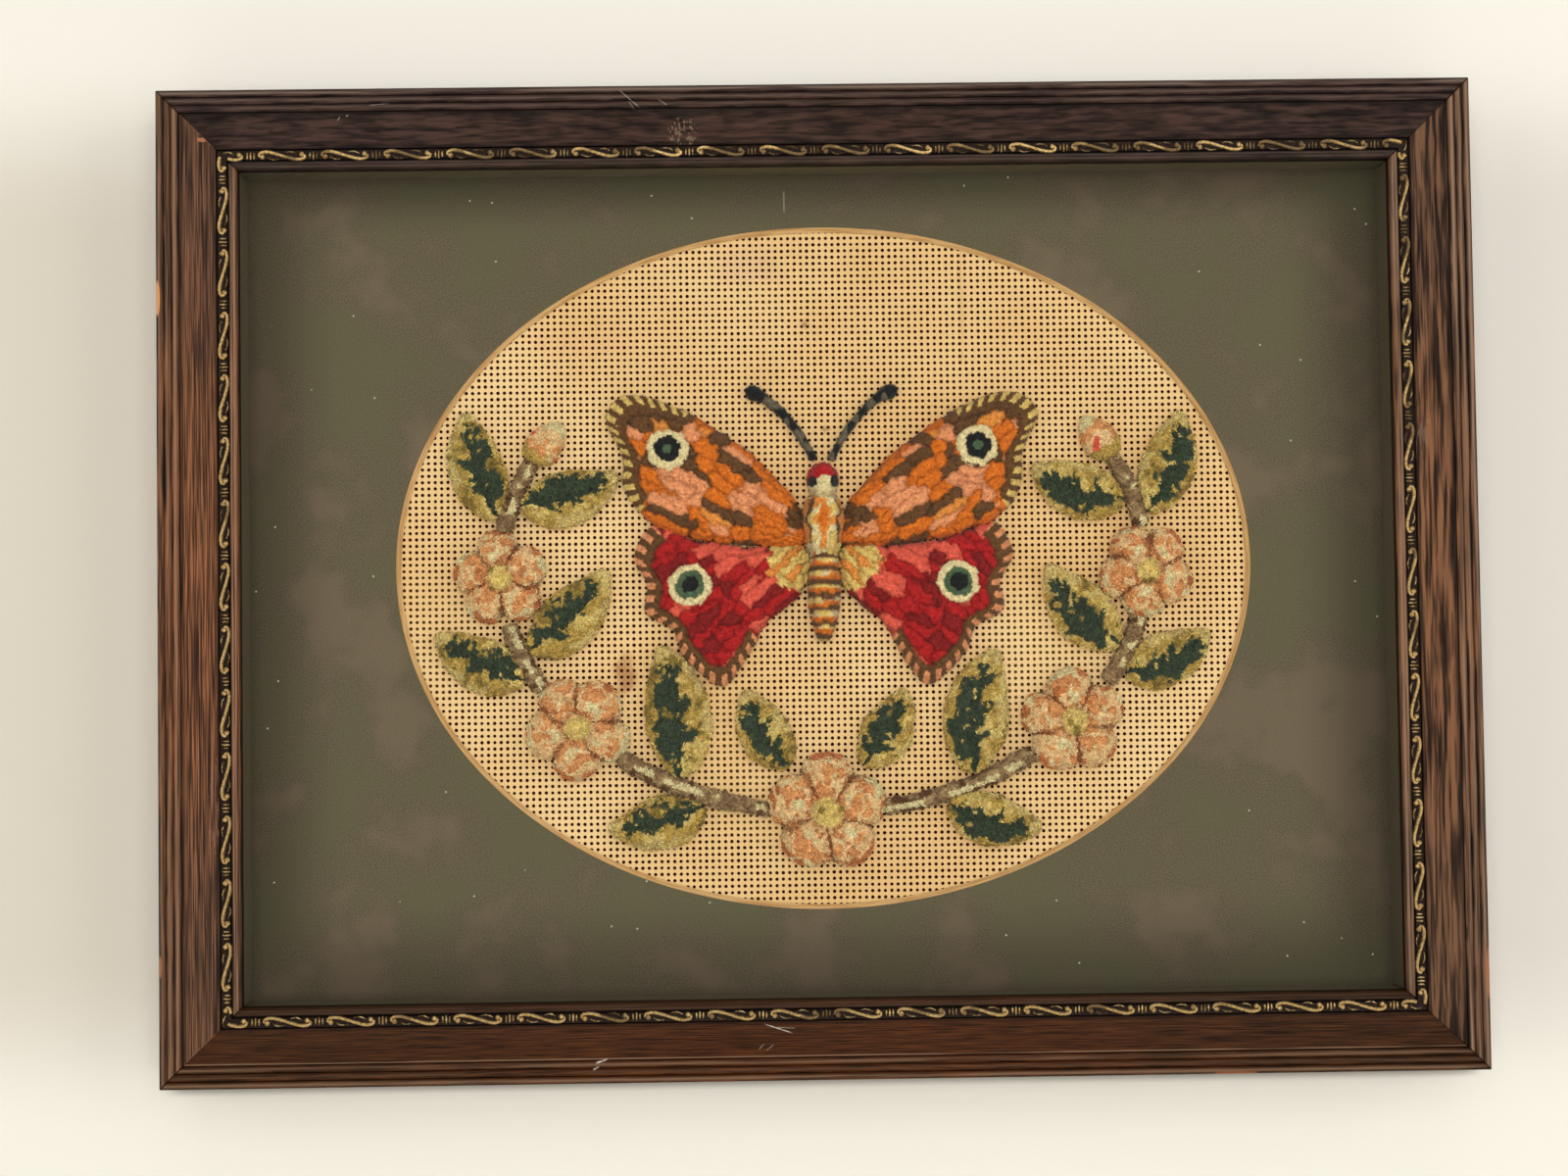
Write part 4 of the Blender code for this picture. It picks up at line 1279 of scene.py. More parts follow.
def add_card(covered, face, pits):
    """The punched card. Its holes are pits with eight sides; where wool covers them they are left whole."""
    low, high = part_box("perforated_card")
    xs, zs = card_lines(low, high)
    nx, nz = len(xs), len(zs)
    gx, gz = np.meshgrid(xs, zs, indexing="ij")
    grid = np.stack([gx, np.full_like(gx, low.y), gz], -1).reshape(-1, 3)
    cx, cz = np.meshgrid((xs[1:] + xs[:-1]) / 2, (zs[1:] + zs[:-1]) / 2, indexing="ij")
    px, pz = cx - OVAL_X, cz - CENTRE_Z - OVAL_Z
    inside = (px / (OVAL_HALF_WIDTH + HOLE_MARGIN)) ** 2 + (pz / (OVAL_HALF_HEIGHT + HOLE_MARGIN)) ** 2 < 1
    inside[[0, -1]] = inside[:, [0, -1]] = False
    holed = inside & ~covered(px, pz)
    i, j = np.meshgrid(np.arange(nx - 1), np.arange(nz - 1), indexing="ij")
    corner = np.stack([i * nz + j, (i + 1) * nz + j, (i + 1) * nz + j + 1, i * nz + j + 1], -1)
    points = np.concatenate([grid, hole_points(cx[holed], cz[holed], *np.nonzero(holed), low.y)])
    base = len(grid) + np.arange(holed.sum()) * (HOLE_SIDES + 1)
    # corners of each cell in the order of the rim's turns: upper right, upper left, lower left, lower right
    ring, pit = hole_faces(corner[holed][:, [2, 3, 0, 1]], base)
    faces = corner[~holed].tolist() + ring
    kinds = [0] * len(faces) + [1] * len(pit)
    faces += pit
    # the edge and the plain back
    edge = [i * nz for i in range(nx)] + [(nx - 1) * nz + j for j in range(1, nz)]
    edge += [i * nz + nz - 1 for i in range(nx - 2, -1, -1)] + list(range(nz - 2, 0, -1))
    behind = points[edge]
    behind[:, 1] = high.y
    first, count = len(points), len(edge)
    for k in range(count):
        following = (k + 1) % count
        faces.append([edge[k], edge[following], first + following, first + k])
    faces.append(list(range(first, first + count)))
    kinds += [0] * (count + 1)
    points = np.concatenate([points, behind])
    mesh = closed_mesh("punched_card", points.tolist(), faces)
    made = new_piece("punched_card", mesh, "perforated_card", [face, pits], smooth=False)
    mesh.polygons.foreach_set("material_index", kinds)
    put_colours(mesh, "stain", stained(*from_oval(points)))


# Motif outlines and lines, as in their solids, from the oval's centre


def wreath_point(degrees, mirror):
    """A place on the wreath, mirrored for its left half."""
    turn = math.radians(degrees)
    return Vector((mirror * WREATH_HALF_WIDTH * math.cos(turn), WREATH_HALF_HEIGHT * math.sin(turn)))


def wreath_direction(degrees, mirror):
    """The way the wreath runs there."""
    turn = math.radians(degrees)
    run = Vector((-mirror * WREATH_HALF_WIDTH * math.sin(turn), WREATH_HALF_HEIGHT * math.cos(turn)))
    return run.normalized()


def smooth_outline(points, mirror):
    """A closed smooth curve through a wing's points, given in mm."""
    curve = []
    for i in range(len(points)):
        near = [Vector(points[(i + k - 1) % len(points)]) for k in range(4)]
        for step in range(WING_STEPS):
            p = between(*near, step / WING_STEPS)
            curve.append((mirror * p.x * MM, p.y * MM + BUTTERFLY_Z))
    return np.array(curve)


def flower_outline(flower, mirror, tilt):
    """A round outline notched between its petals, and its centre."""
    degrees, radius = flower
    centre = wreath_point(degrees, mirror)
    turn = 2 * np.pi * np.arange(FLOWER_STEPS) / FLOWER_STEPS
    petal = np.abs(np.cos(FLOWER_PETALS / 2 * (turn - tilt)))
    reach = radius * MM * (1 - FLOWER_NOTCH * (1 - petal))
    return np.stack([centre.x + reach * np.cos(turn), centre.y + reach * np.sin(turn)], 1), centre


def bud_outline(mirror):
    """An egg-shaped outline whose point follows the wreath, and its centre."""
    centre = wreath_point(BUD_ANGLE, mirror)
    direction = wreath_direction(BUD_ANGLE, mirror)
    sideways = Vector((direction.y, -direction.x)) * BUD_NARROW
    turn = 2 * np.pi * np.arange(BUD_STEPS) / BUD_STEPS
    along = np.cos(turn) * (1 + BUD_POINT * np.maximum(0, np.cos(turn)) ** 3)
    outline = np.outer(along, direction) + np.outer(np.sin(turn), sideways)
    return np.array(centre) + BUD_RADIUS * outline, centre


def clear_angle(degrees, radius, way):
    """The angle along the wreath, on one way from a motif, at which the stem stands clear of it."""
    centre = wreath_point(degrees, 1)
    angle = degrees
    while (wreath_point(angle, 1) - centre).length < radius * MM + STEM_CLEAR:
        angle = angle + way * STEM_SEARCH
    return angle


def stem_line(start, end, mirror):
    """The middle line of a stem between two motifs, as x, z and half width."""
    first = clear_angle(*start, 1)
    last = clear_angle(*end, -1)
    line = []
    for step in range(STEM_STEPS):
        degrees = first + (last - first) * step / (STEM_STEPS - 1)
        line.append((*wreath_point(degrees, mirror), STEM_HALF_WIDTH))
    return np.array(line)


def leaf_half_width(share):
    """A leaf's half width as a share of its widest, a share of the way along it."""
    return math.sin(math.pi * (0.04 + 0.94 * share**0.85)) ** 0.8


def leaf_line(place, heading, mirror, length, half_width, bend):
    """The middle line of a leaf, as x, z and half width."""
    line = []
    place = Vector(place)
    for step in range(LEAF_STEPS):
        share = step / (LEAF_STEPS - 1)
        line.append((place.x, place.y, max(half_width * leaf_half_width(share), LEAF_POINT)))
        angle = heading + bend * (share - LEAF_STRAIGHT)
        place = place + Vector((mirror * math.cos(angle), math.sin(angle))) * length / (LEAF_STEPS - 1)
    return np.array(line)


def stem_leaf_line(row, mirror):
    """The middle line of a leaf that grows beside the stem."""
    _, degrees, swing, length, half_width, bend = row
    stretch = LEFT_LEAF_STRETCH if mirror < 0 else 1
    turn = math.radians(swing) + (LEFT_LEAF_SWING if mirror < 0 else 0)
    run = wreath_direction(degrees, 1)
    inwards = Vector((-run.y, run.x)) * math.copysign(STEM_HALF_WIDTH + LEAF_CLEAR, swing)
    place = wreath_point(degrees, 1) + inwards
    place.x = mirror * place.x
    heading = math.atan2(run.y, run.x) + turn
    return leaf_line(place, heading, mirror, length * MM * stretch, half_width * MM, math.radians(bend))


def low_leaf_line(mirror):
    """The middle line of a leaf that stands on the lowest flower."""
    degrees, radius = LOW_FLOWER
    outwards = Vector((mirror * math.cos(LOW_LEAF_START), math.sin(LOW_LEAF_START)))
    place = wreath_point(degrees, 1) + outwards * (radius * MM + LOW_LEAF_CLEAR)
    return leaf_line(place, LOW_LEAF_START, mirror, LOW_LEAF_LENGTH, LOW_LEAF_HALF_WIDTH, LOW_LEAF_BEND)


def line_sides(line):
    """The direction across a line of x, z and half width, at each of its points."""
    run = unit(np.gradient(line[:, :2], axis=0))
    return np.stack([run[:, 1], -run[:, 0]], 1)


def line_outline(line):
    """The outline of a ridge, for the test of which holes it covers."""
    aside = line_sides(line) * line[:, 2, None]
    return np.concatenate([line[:, :2] + aside, (line[:, :2] - aside)[::-1]])


def covered_by(outlines, margin):
    """A test of whether places lie inside any of these outlines, further than a margin from its edge."""

    def inside(px, pz):
        hit = np.zeros(px.shape, bool)
        for outline in outlines:
            low, high = outline.min(0), outline.max(0)
            near = (px > low[0]) & (px < high[0]) & (pz > low[1]) & (pz < high[1]) & ~hit
            x, z = px[near], pz[near]
            crossings = np.zeros(x.shape, int)
            nearest = np.full(x.shape, 1.0)
            for a, b in zip(outline, np.roll(outline, -1, 0)):
                spans = (a[1] > z) != (b[1] > z)
                slope = (b[0] - a[0]) / (b[1] - a[1] if b[1] != a[1] else 1e-12)
                crossings += spans & (x < a[0] + slope * (z - a[1]))
                edge = b - a
                share = np.clip(((x - a[0]) * edge[0] + (z - a[1]) * edge[1]) / max(edge @ edge, 1e-12), 0, 1)
                away = np.hypot(x - a[0] - share * edge[0], z - a[1] - share * edge[1])
                nearest = np.minimum(nearest, away)
            hit[near] = (crossings % 2 == 1) & (nearest > margin)
        return hit

    return inside


# Wool forms. Each gives points, two chart coordinates for each point, and faces


def respaced(outline, spacing):
    """A closed outline with its points an even distance apart."""
    closed = np.concatenate([outline, outline[:1]])
    run = np.concatenate([[0], np.cumsum(np.linalg.norm(np.diff(closed, axis=0), axis=1))])
    count = int(run[-1] / spacing)
    even = np.linspace(0, run[-1], count, endpoint=False)
    return np.stack([np.interp(even, run, closed[:, 0]), np.interp(even, run, closed[:, 1])], 1)


def outline_share(places, outline, centre):
    """How far out each place lies as a share of the outline's size, and its share of the way round."""
    turns = np.unwrap(np.arctan2(outline[:, 1] - centre[1], outline[:, 0] - centre[0]))
    reach = np.hypot(outline[:, 0] - centre[0], outline[:, 1] - centre[1])
    way = 1 if turns[-1] > turns[0] else -1
    order = np.argsort(way * turns)
    turns, reach = (way * turns)[order], reach[order]
    share = order / len(outline)
    turn = way * np.arctan2(places[:, 1] - centre[1], places[:, 0] - centre[0])
    turn = turns[0] + np.mod(turn - turns[0], 2 * np.pi)
    turns = np.append(turns, turns[0] + 2 * np.pi)
    size = np.hypot(places[:, 0] - centre[0], places[:, 1] - centre[1])
    size = size / np.interp(turn, turns, np.append(reach, reach[0]))
    return size, np.interp(turn, turns, np.append(share, 1.0))


def on_card(x, z, height):
    """Points of the wool, from the oval's centre and from the back of the wool."""
    y = WOOL_BACK - height
    return np.stack([OVAL_X + x, np.broadcast_to(y, x.shape), CENTRE_Z + OVAL_Z + z], -1)


def net_form(outline, centre, height):
    """A raised form over an outline, as an even net. Chart: share round the outline, share of its size."""
    outline = respaced(outline, NET_SPACING)
    low, high = outline.min(0), outline.max(0)
    columns = np.arange(low[0], high[0], NET_SPACING)
    rows = np.arange(low[1], high[1], NET_SPACING * 0.87)
    gx, gz = np.meshgrid(columns, rows)
    gx = gx + (np.arange(len(rows)) % 2)[:, None] * NET_SPACING / 2
    gx = gx + NET_SPACING * NET_SHIFT * noise(gx, gz, 0.5 * MM, 61)
    gz = gz + NET_SPACING * NET_SHIFT * noise(gx, gz, 0.5 * MM, 62)
    inner = covered_by([outline], NET_SPACING * 0.6)(gx, gz)
    flat = np.concatenate([outline, np.stack([gx[inner], gz[inner]], 1)])
    around = len(outline)
    edges = [(k, (k + 1) % around) for k in range(around)]
    found = delaunay_2d_cdt([Vector(p) for p in flat / MM], edges, [list(range(around))], 1, 1e-4)
    flat = np.array([tuple(p) for p in found[0]]) * MM
    faces = [list(face) for face in found[2]]
    size, share = outline_share(flat, outline, centre)
    size[:around] = 1.0
    steps, levels = np.array(MOUND_LEVELS).T
    points = [on_card(flat[:, 0], flat[:, 1], np.interp(1 - size, 1 - steps, levels) * height)]
    chart = [np.stack([share, size], 1)]
    above = list(range(around))
    for row in range(1, SIDE_ROWS + 1):
        level = levels[0] * (1 - row / SIDE_ROWS) * height
        points.append(on_card(flat[:around, 0], flat[:around, 1], np.full(around, level)))
        chart.append(chart[0][:around])
        first = len(flat) + (row - 1) * around
        below = list(range(first, first + around))
        for k in range(around):
            following = (k + 1) % around
            faces.append([above[k], above[following], below[following], below[k]])
        above = below
    faces.append(above)
    return np.concatenate(points), np.concatenate(chart), faces


def ridge_form(line, height, crest, across_count):
    """A raised form along a line of x, z and half width. Chart: share along, share across."""
    section = np.array([*RIDGE_ACROSS[:3], (0.0, crest), *RIDGE_ACROSS[3:]])
    steps = np.linspace(0, 6, across_count)
    across, rise = (np.interp(steps, range(7), column) for column in section.T)
    flat = line[:, None, :2] + line_sides(line)[:, None] * (line[:, 2, None] * across)[..., None]
    low = RIDGE_END_HEIGHT + (1 - RIDGE_END_HEIGHT) * np.sqrt(line[:, 2] / line[:, 2].max())
    points = on_card(flat[..., 0], flat[..., 1], low[:, None] * rise * height)
    along = np.broadcast_to(np.linspace(0, 1, len(line))[:, None], flat.shape[:2])
    chart = np.stack([along, np.broadcast_to(across, flat.shape[:2])], -1)
    return points.reshape(-1, 3), chart.reshape(-1, 2), tube_faces(len(line), across_count)


# Colour charts. Each gives a colour and how far the pile is cut down there, for places on a motif


def pick(number, *choices):
    """A colour for each number, by where it lies from 0 to 1. A choice is a share and a colour's name."""
    shares = np.cumsum([share for share, _ in choices])
    shares = shares / shares[-1]
    colours = np.array([linear(WOOL[name]) for _, name in choices])
    return colours[np.minimum(np.searchsorted(shares, number), len(choices) - 1)]


def lay(colours, mask, name):
    """Put a colour where the mask says."""
    colours[mask] = linear(WOOL[name])


def stitches(x, z, seed):
    """A number of its own, from -0.5 to 0.5, for each stitch of the card's grid."""
    return hashed(np.round(x / HOLE_PITCH), np.round(z / HOLE_PITCH), seed) - 0.5


def leaf_chart(seed, dark_side=1):
    """Olive leaves with ragged dark green along the middle and one side, and pale rims and tips."""
    def chart(u, v, x, z):
        ragged = stitches(x, z, seed)
        s = u + 0.05 * ragged
        t = v * dark_side + 0.24 * ragged + 0.14 * noise(x, z, 2.5 * MM, seed)
        n = noise(x, z, 5 * MM, seed + 3)
        m = noise(x, z, 2.0 * MM, seed + 4)
        tones = (0.22, "deep_olive"), (0.4, "olive"), (0.38, "light_olive")
        colours = pick(0.5 + 0.4 * n + 0.3 * m + 0.3 * ragged, *tones)
        lay(colours, (t > 0.7) & (s > 0.3) & (m > -0.5), "celadon")
        lay(colours, (s > 0.9), "celadon")
        side_vein = (np.mod(s * 4.2 - np.abs(t) * 0.9 + 0.2, 1.0) < 0.36) & (t > -0.74) & (t < 0.45)
        lay(colours, side_vein & (s > 0.1) & (s < 0.88) & (m < 0.6), "bottle")
        lay(colours, (np.abs(t + 0.1) < 0.27) & (s < 0.88) & (m < 0.75), "bottle")
        lay(colours, (t < -0.3) & (t > -0.78) & (s > 0.1) & (s < 0.75) & (n > -0.45) & (m > -0.6), "bottle")
        return colours, 0.35 * MM * dent(t, 0.16)
    return chart


def flower_chart(seed, centre, radius, tilt):
    """Pink and rust petals with pale rims round a yellow middle; the pile is cut down between petals."""
    def chart(u, v, x, z):
        ragged = stitches(x, z, seed)
        dx, dz = x - centre[0], z - centre[1]
        away = np.hypot(dx, dz) / radius + 0.07 * ragged
        turn = np.arctan2(dz, dx)
        petal = np.abs(np.cos(FLOWER_PETALS / 2 * (turn - tilt) + 0.35 * noise(x, z, 5 * MM, seed)))
        n = noise(x, z, 2.8 * MM, seed + 5)
        tones = (0.3, "rust"), (0.08, "deep_rust"), (0.36, "pink"), (0.26, "rust")
        colours = pick(0.5 + 0.55 * n + 0.35 * ragged, *tones)
        lay(colours, (away > 0.76) & (n > -0.1), "pink")
        lay(colours, (away > 0.87) & (n < -0.25), "cream")
        lay(colours, (away > 0.9) & (n > 0.15), "deep_rust")
        lay(colours, (petal < 0.17) & (away > 0.3) & (away < 0.8) & (n < 0.45), "deep_rust")
        lay(colours, (away > 0.4) & (away < 0.6) & (petal > 0.72) & (n > 0.1), "cream")
        lay(colours, away < 0.26, "light_olive")
        lay(colours, (away < 0.2) & (ragged > 0.1), "yellow")
        lay(colours, (away < 0.26) & (ragged < -0.4), "deep_olive")
        cut = 1.5 * MM * dent(petal, 0.22) * np.clip((away - 0.2) * 4, 0, 1)
        return colours, cut + 0.8 * MM * dent(away - 0.3, 0.07)
    return chart


def bud_chart(seed, mirror):
    """Buds in rust, pink and coral, olive at the foot and cream at the tip."""
    centre = np.array(wreath_point(BUD_ANGLE, mirror))
    direction = np.array(wreath_direction(BUD_ANGLE, mirror))

    def chart(u, v, x, z):
        away = ((x - centre[0]) * direction[0] + (z - centre[1]) * direction[1]) / BUD_RADIUS
        along = away + 0.3 * stitches(x, z, seed)
        n = noise(x, z, 2.6 * MM, seed)
        colours = pick(0.5 + 0.6 * n, (0.5, "rust"), (0.3, "pink"), (0.2, "coral"))
        lay(colours, along < -0.35, "olive")
        lay(colours, along > 0.95, "cream")
        return colours, np.zeros_like(x)
    return chart


def stem_chart(seed):
    """Brown stems with pale patches along one side."""
    def chart(u, v, x, z):
        n = noise(x, z, 2.4 * MM, seed)
        tones = (0.4, "stem"), (0.4, "taupe"), (0.2, "brown")
        colours = pick(0.5 + 0.6 * n + 0.3 * stitches(x, z, seed), *tones)
        lay(colours, (np.abs(v - 0.2) < 0.4) & (n > 0.18), "cream")
        return colours, np.zeros_like(x)
    return chart


def wing_patches(x, z, mirror, fan, seed):
    """Long ragged patches of pile that fan out from where the wing joins the body."""
    x, z = x + 0.8 * MM * noise(x, z, 1.5 * MM, seed + 1), z + 0.8 * MM * noise(x, z, 1.5 * MM, seed + 2)
    px, pz = mirror * x, z - BUTTERFLY_Z - 3 * MM
    away = np.hypot(px, pz)
    turn = np.arctan2(pz, px) - math.radians(fan)
    bend = 2.5 * MM * noise(x, z, 10 * MM, seed + 3)
    return cells(away / 2.1 + bend, turn * (12 * MM + 0.62 * away), 3.3 * MM, seed)


def wing_chart(wing, mirror):
    """Patches of pile with furrows between them, a brown rim with beads of colour, and a ringed spot."""
    look = WINGS[wing]

    def chart(u, v, x, z):
        ragged = stitches(x, z, look["seed"])
        first, second, own = wing_patches(x, z, mirror, look["fan"], look["patch_seed"])
        colours = pick(own, *look["tones"])
        px, pz = mirror * x / MM, (z - BUTTERFLY_Z) / MM
        edge = v + 0.03 * ragged
        outer = px + look["slope"] * pz
        if wing == "forewing":
            lay(colours, (edge > 0.88) & (outer < 58) & (own < 0.8), "orange")
        else:
            root = np.hypot(px - 6, pz + 4) + 1.6 * ragged
            lay(colours, root < 9.5, "yellow")
            lay(colours, (root < 11.5) & (own < 0.3), "light_orange")
        rimmed = outer > look["rim_from"]
        rim = (edge > look["rim"]) & rimmed
        lay(colours, rim, "brown")
        bead, number, shift, share = look["beads"]
        lay(colours, (edge > 0.89) & rimmed & (np.mod(u * number + shift, 1.0) < share), bead)
        spot_x, spot_z = look["spot"]
        away = np.hypot(px - spot_x, pz - spot_z) + 0.9 * ragged
        for size, name in look["rings"]:
            lay(colours, away < size, name)
        spot_edge = look["rings"][0][0] + 0.3
        groove = np.where(rim | (away < spot_edge + 0.1), 9.0, second - first)
        cut = 0.85 * MM * dent(groove, 0.16) + 0.7 * MM * dent(edge - look["rim"], 0.02) * rimmed
        return colours, cut + 0.6 * MM * dent(away - spot_edge, 0.4)
    return chart


def body_chart(u, v, x, z):
    """A banded hind body, an orange and brown chest, a cream neck and a crimson crown with dark eyes."""
    up = (z - BUTTERFLY_Z) / MM + 0.8 * stitches(x, z, 27)
    n = noise(x, z, 2.6 * MM, 29)
    side = np.abs(v) + 0.16 * n
    colours = pick(0.5 + 0.6 * n, (0.45, "yellow"), (0.35, "cream"), (0.2, "light_orange"))
    bands = np.mod(up * 0.26, 1.0)
    lay(colours, (up < -3) & (bands < 0.42), "brown")
    lay(colours, (up < -3) & (bands >= 0.42) & (bands < 0.72), "orange")
    thorax = (up > 0.5) & (up < 13)
    lay(colours, thorax & (side < 0.42 - 0.05 * np.abs(up - 6.5)), "light_orange")
    lay(colours, thorax & (side < 0.24 - 0.03 * np.abs(up - 6.5)), "orange")
    lay(colours, thorax & (side > 0.66) & (side < 0.8), "brown")
    lay(colours, thorax & (side >= 0.8), "light_orange")
    lay(colours, (up > 14.2), "cream")
    lay(colours, (up > 19.3 - side), "crimson")
    lay(colours, np.hypot((up - 17.8) / 1.7, (np.abs(v) - 0.72) / 0.3) < 1, "black")
    return colours, 0.7 * MM * dent(up - 14, 0.8) + 0.5 * MM * dent(up + 2, 0.8)


def antenna_chart(u, v, x, z):
    """Grey and black antennae with black clubs."""
    colours = pick(0.5 + 0.6 * noise(x, z, 2 * MM, 41), (0.5, "grey"), (0.5, "black"))
    lay(colours, u > 0.72, "black")
    return colours, np.zeros_like(x)


# Pile


def lumpy(points, normals, chart_places, chart, kind, seed):
    """The form's points moved out by their lumps and in by the chart's cuts, with their colours, darkened in
    the hollows and cuts as painted shade.
    """
    raised = WOOL_BACK - points[:, 1]
    x, z = from_oval(points)
    colours, cut = chart(*chart_places.T, x, z)
    # the lumps are read a little askew, so that they don't run straight down the sides
    lean_x, lean_z = x + 0.7 * raised, z + 0.5 * raised
    first, _, own = cells(lean_x, lean_z, kind["lump_size"], seed)
    lumps = kind["lump"] * (0.55 - 1.4 * first**2 + 0.5 * own)
    lumps = lumps + 0.35 * MM * noise(lean_x, lean_z, 5.0 * MM, seed + 1)
    free = np.clip(raised / (0.6 * MM), 0, 1)
    moved = points + normals * ((lumps - cut) * free)[:, None]
    moved[:, 1] = np.minimum(moved[:, 1], WOOL_BACK)
    # painted shade in the hollows between lumps and in the cuts, with each lump's own tone
    shade = 1.1 - kind["hollow"] * first**1.4 - 0.3 * cut / MM + 0.24 * (own - 0.5)
    return moved, colours * np.clip(shade, 0.3, 1.3)[:, None]


def form_triangles(mesh):
    """The form's triangles, as rows of three points."""
    mesh.calc_loop_triangles()
    triangles = np.empty(len(mesh.loop_triangles) * 3, np.int64)
    mesh.loop_triangles.foreach_get("vertices", triangles)
    return triangles.reshape(-1, 3)


def piled(name, form, chart, pile, seed, material):
    """A wool motif: its lumpy form, with strands and loops of yarn over all of it but its back."""
    vertices, chart_places, faces = form
    kind = PILES[pile]
    mesh = closed_mesh(name + "_wool", vertices.tolist(), faces)
    normals = np.empty(len(vertices) * 3)
    mesh.vertex_normals.foreach_get("vector", normals)
    moved, colours = lumpy(vertices, normals.reshape(-1, 3), chart_places, chart, kind, seed)
    mesh.vertices.foreach_set("co", moved.ravel())
    mesh.update()
    triangles = form_triangles(mesh)
    corner = moved[triangles]
    facing = np.cross(corner[:, 1] - corner[:, 0], corner[:, 2] - corner[:, 0])
    area = np.linalg.norm(facing, axis=1) / 2
    facing = facing / np.maximum(2 * area[:, None], 1e-12)
    front = corner[:, :, 1].min(1)
    open_face = (front < WOOL_BACK - 0.3 * MM) & (facing[:, 1] < 0.35)
    area = np.where(open_face, area * (0.4 + 0.6 * np.clip(-facing[:, 1], 0, 1)), 0)
    random = np.random.default_rng(seed)

    def scatter(density, near_rim=False):
        """Places for so many strands to a square millimetre, which way they face, and their colours."""
        share = np.where(front > WOOL_BACK - RIM_HEIGHT, area, 0) if near_rim else area
        count = int(share.sum() / MM**2 * density)
        chosen = random.choice(len(triangles), count, p=share / share.sum())
        a, b = random.random((2, count))
        fold = a + b > 1
        a, b = np.where(fold, 1 - a, a), np.where(fold, 1 - b, b)
        weights = np.stack([1 - a - b, a, b], 1)[..., None]
        picked = triangles[chosen]
        places = (moved[picked] * weights).sum(1)
        tones, depth = chart(*(chart_places[picked] * weights).sum(1).T, *from_oval(places))
        bright = 1 + kind["vary"] * (random.random(count) - 0.48)
        # darker in the chart's cuts as painted shade, and each strand a little brighter or darker of its own
        tones = tones * (bright - 0.25 * depth / MM)[:, None]
        return places, facing[chosen], np.maximum(tones, 0.004)

    parts = [(moved, None, colours), strands(*scatter(kind["strands"]), kind, random)]
    if kind["loops"]:
        parts.append(loops(*scatter(kind["loops"]), random))
    parts.append(strands(*scatter(kind["rim"] / (RIM_HEIGHT / MM), True), kind, random))
    join_parts(mesh, faces, parts)
    new_piece(name + "_wool", mesh, name, [material])


def strands(places, facing, tones, kind, random):
    """Short tapering strands with three sides, leaning every way."""
    count = len(places)
    lean = random.normal(0, kind["lean"], (count, 3))
    direction = unit(facing + lean * 0.6)
    direction[:, 1] = np.minimum(direction[:, 1], 0.1)
    length = kind["length"] * (0.6 + 0.8 * random.random(count))
    tips = places + direction * length[:, None]
    tips[:, 1] = np.clip(tips[:, 1], WOOL_FRONT, WOOL_BACK - 0.1 * MM)
    aside = unit(np.cross(direction, random.normal(0, 1, (count, 3))))
    roots = places - direction * STRAND_ROOT
    width = kind["width"] * (0.7 + 0.6 * random.random(count))
    ring = roots[:, None] + rings(aside, np.cross(direction, aside), 3) * width[:, None, None]
    ring[..., 1] = np.minimum(ring[..., 1], WOOL_BACK)
    points = np.concatenate([ring, tips[:, None]], 1).reshape(-1, 3)
    base = np.arange(count)[:, None] * 4
    faces = np.concatenate([base + [0, 1, 3], base + [1, 2, 3], base + [2, 0, 3]])
    # painted shade at each strand's root and a painted highlight at its tip
    root_shade, tip_shade = STRAND_ROOT_SHADE_TIP_HIGHLIGHT
    colour = np.stack([tones * root_shade] * 3 + [tones * tip_shade], 1).reshape(-1, 3)
    return points, faces, colour


def loops(places, facing, tones, random):
    """Small bent loops of yarn, each a bow with three sides whose ends are in the pile."""
    count = len(places)
    run = unit(np.cross(facing, random.normal(0, 1, (count, 3))))
    up = unit(facing + 0.35 * random.normal(0, 1, (count, 3)))
    aside = unit(np.cross(run, up))
    up = np.cross(aside, run)
    radius = LOOP_RADIUS * (0.65 + 0.7 * random.random(count))
    thick = LOOP_THICK * (0.75 + 0.5 * random.random(count))
    rows, colour = [], []
    for station in range(LOOP_STATIONS):
        turn = math.radians(LOOP_START + LOOP_TURN * station / (LOOP_STATIONS - 1))
        outward = -run * math.cos(turn) + up * math.sin(turn)
        spine = places - up * (0.35 * radius)[:, None] + outward * radius[:, None]
        size = thick * (0.7 if station in (0, LOOP_STATIONS - 1) else 1.0)
        for side in range(3):
            angle = 2 * math.pi * side / 3 + math.pi / 2
            rows.append(spine + (aside * math.cos(angle) + outward * math.sin(angle)) * size[:, None])
            # painted shade where the loop goes into the pile and a painted highlight over its top
            colour.append(tones * (0.42 + 0.8 * math.sin(turn)))
    points = np.stack(rows, 1)
    points[..., 1] = np.clip(points[..., 1], WOOL_FRONT, WOOL_BACK)
    base = np.arange(count)[:, None] * (3 * LOOP_STATIONS)
    faces = []
    for station in range(LOOP_STATIONS - 1):
        for side in range(3):
            a, b = 3 * station + side, 3 * station + (side + 1) % 3
            faces.append(base + [a, b, b + 3, a + 3])
    return points.reshape(-1, 3), np.concatenate(faces), np.stack(colour, 1).reshape(-1, 3)


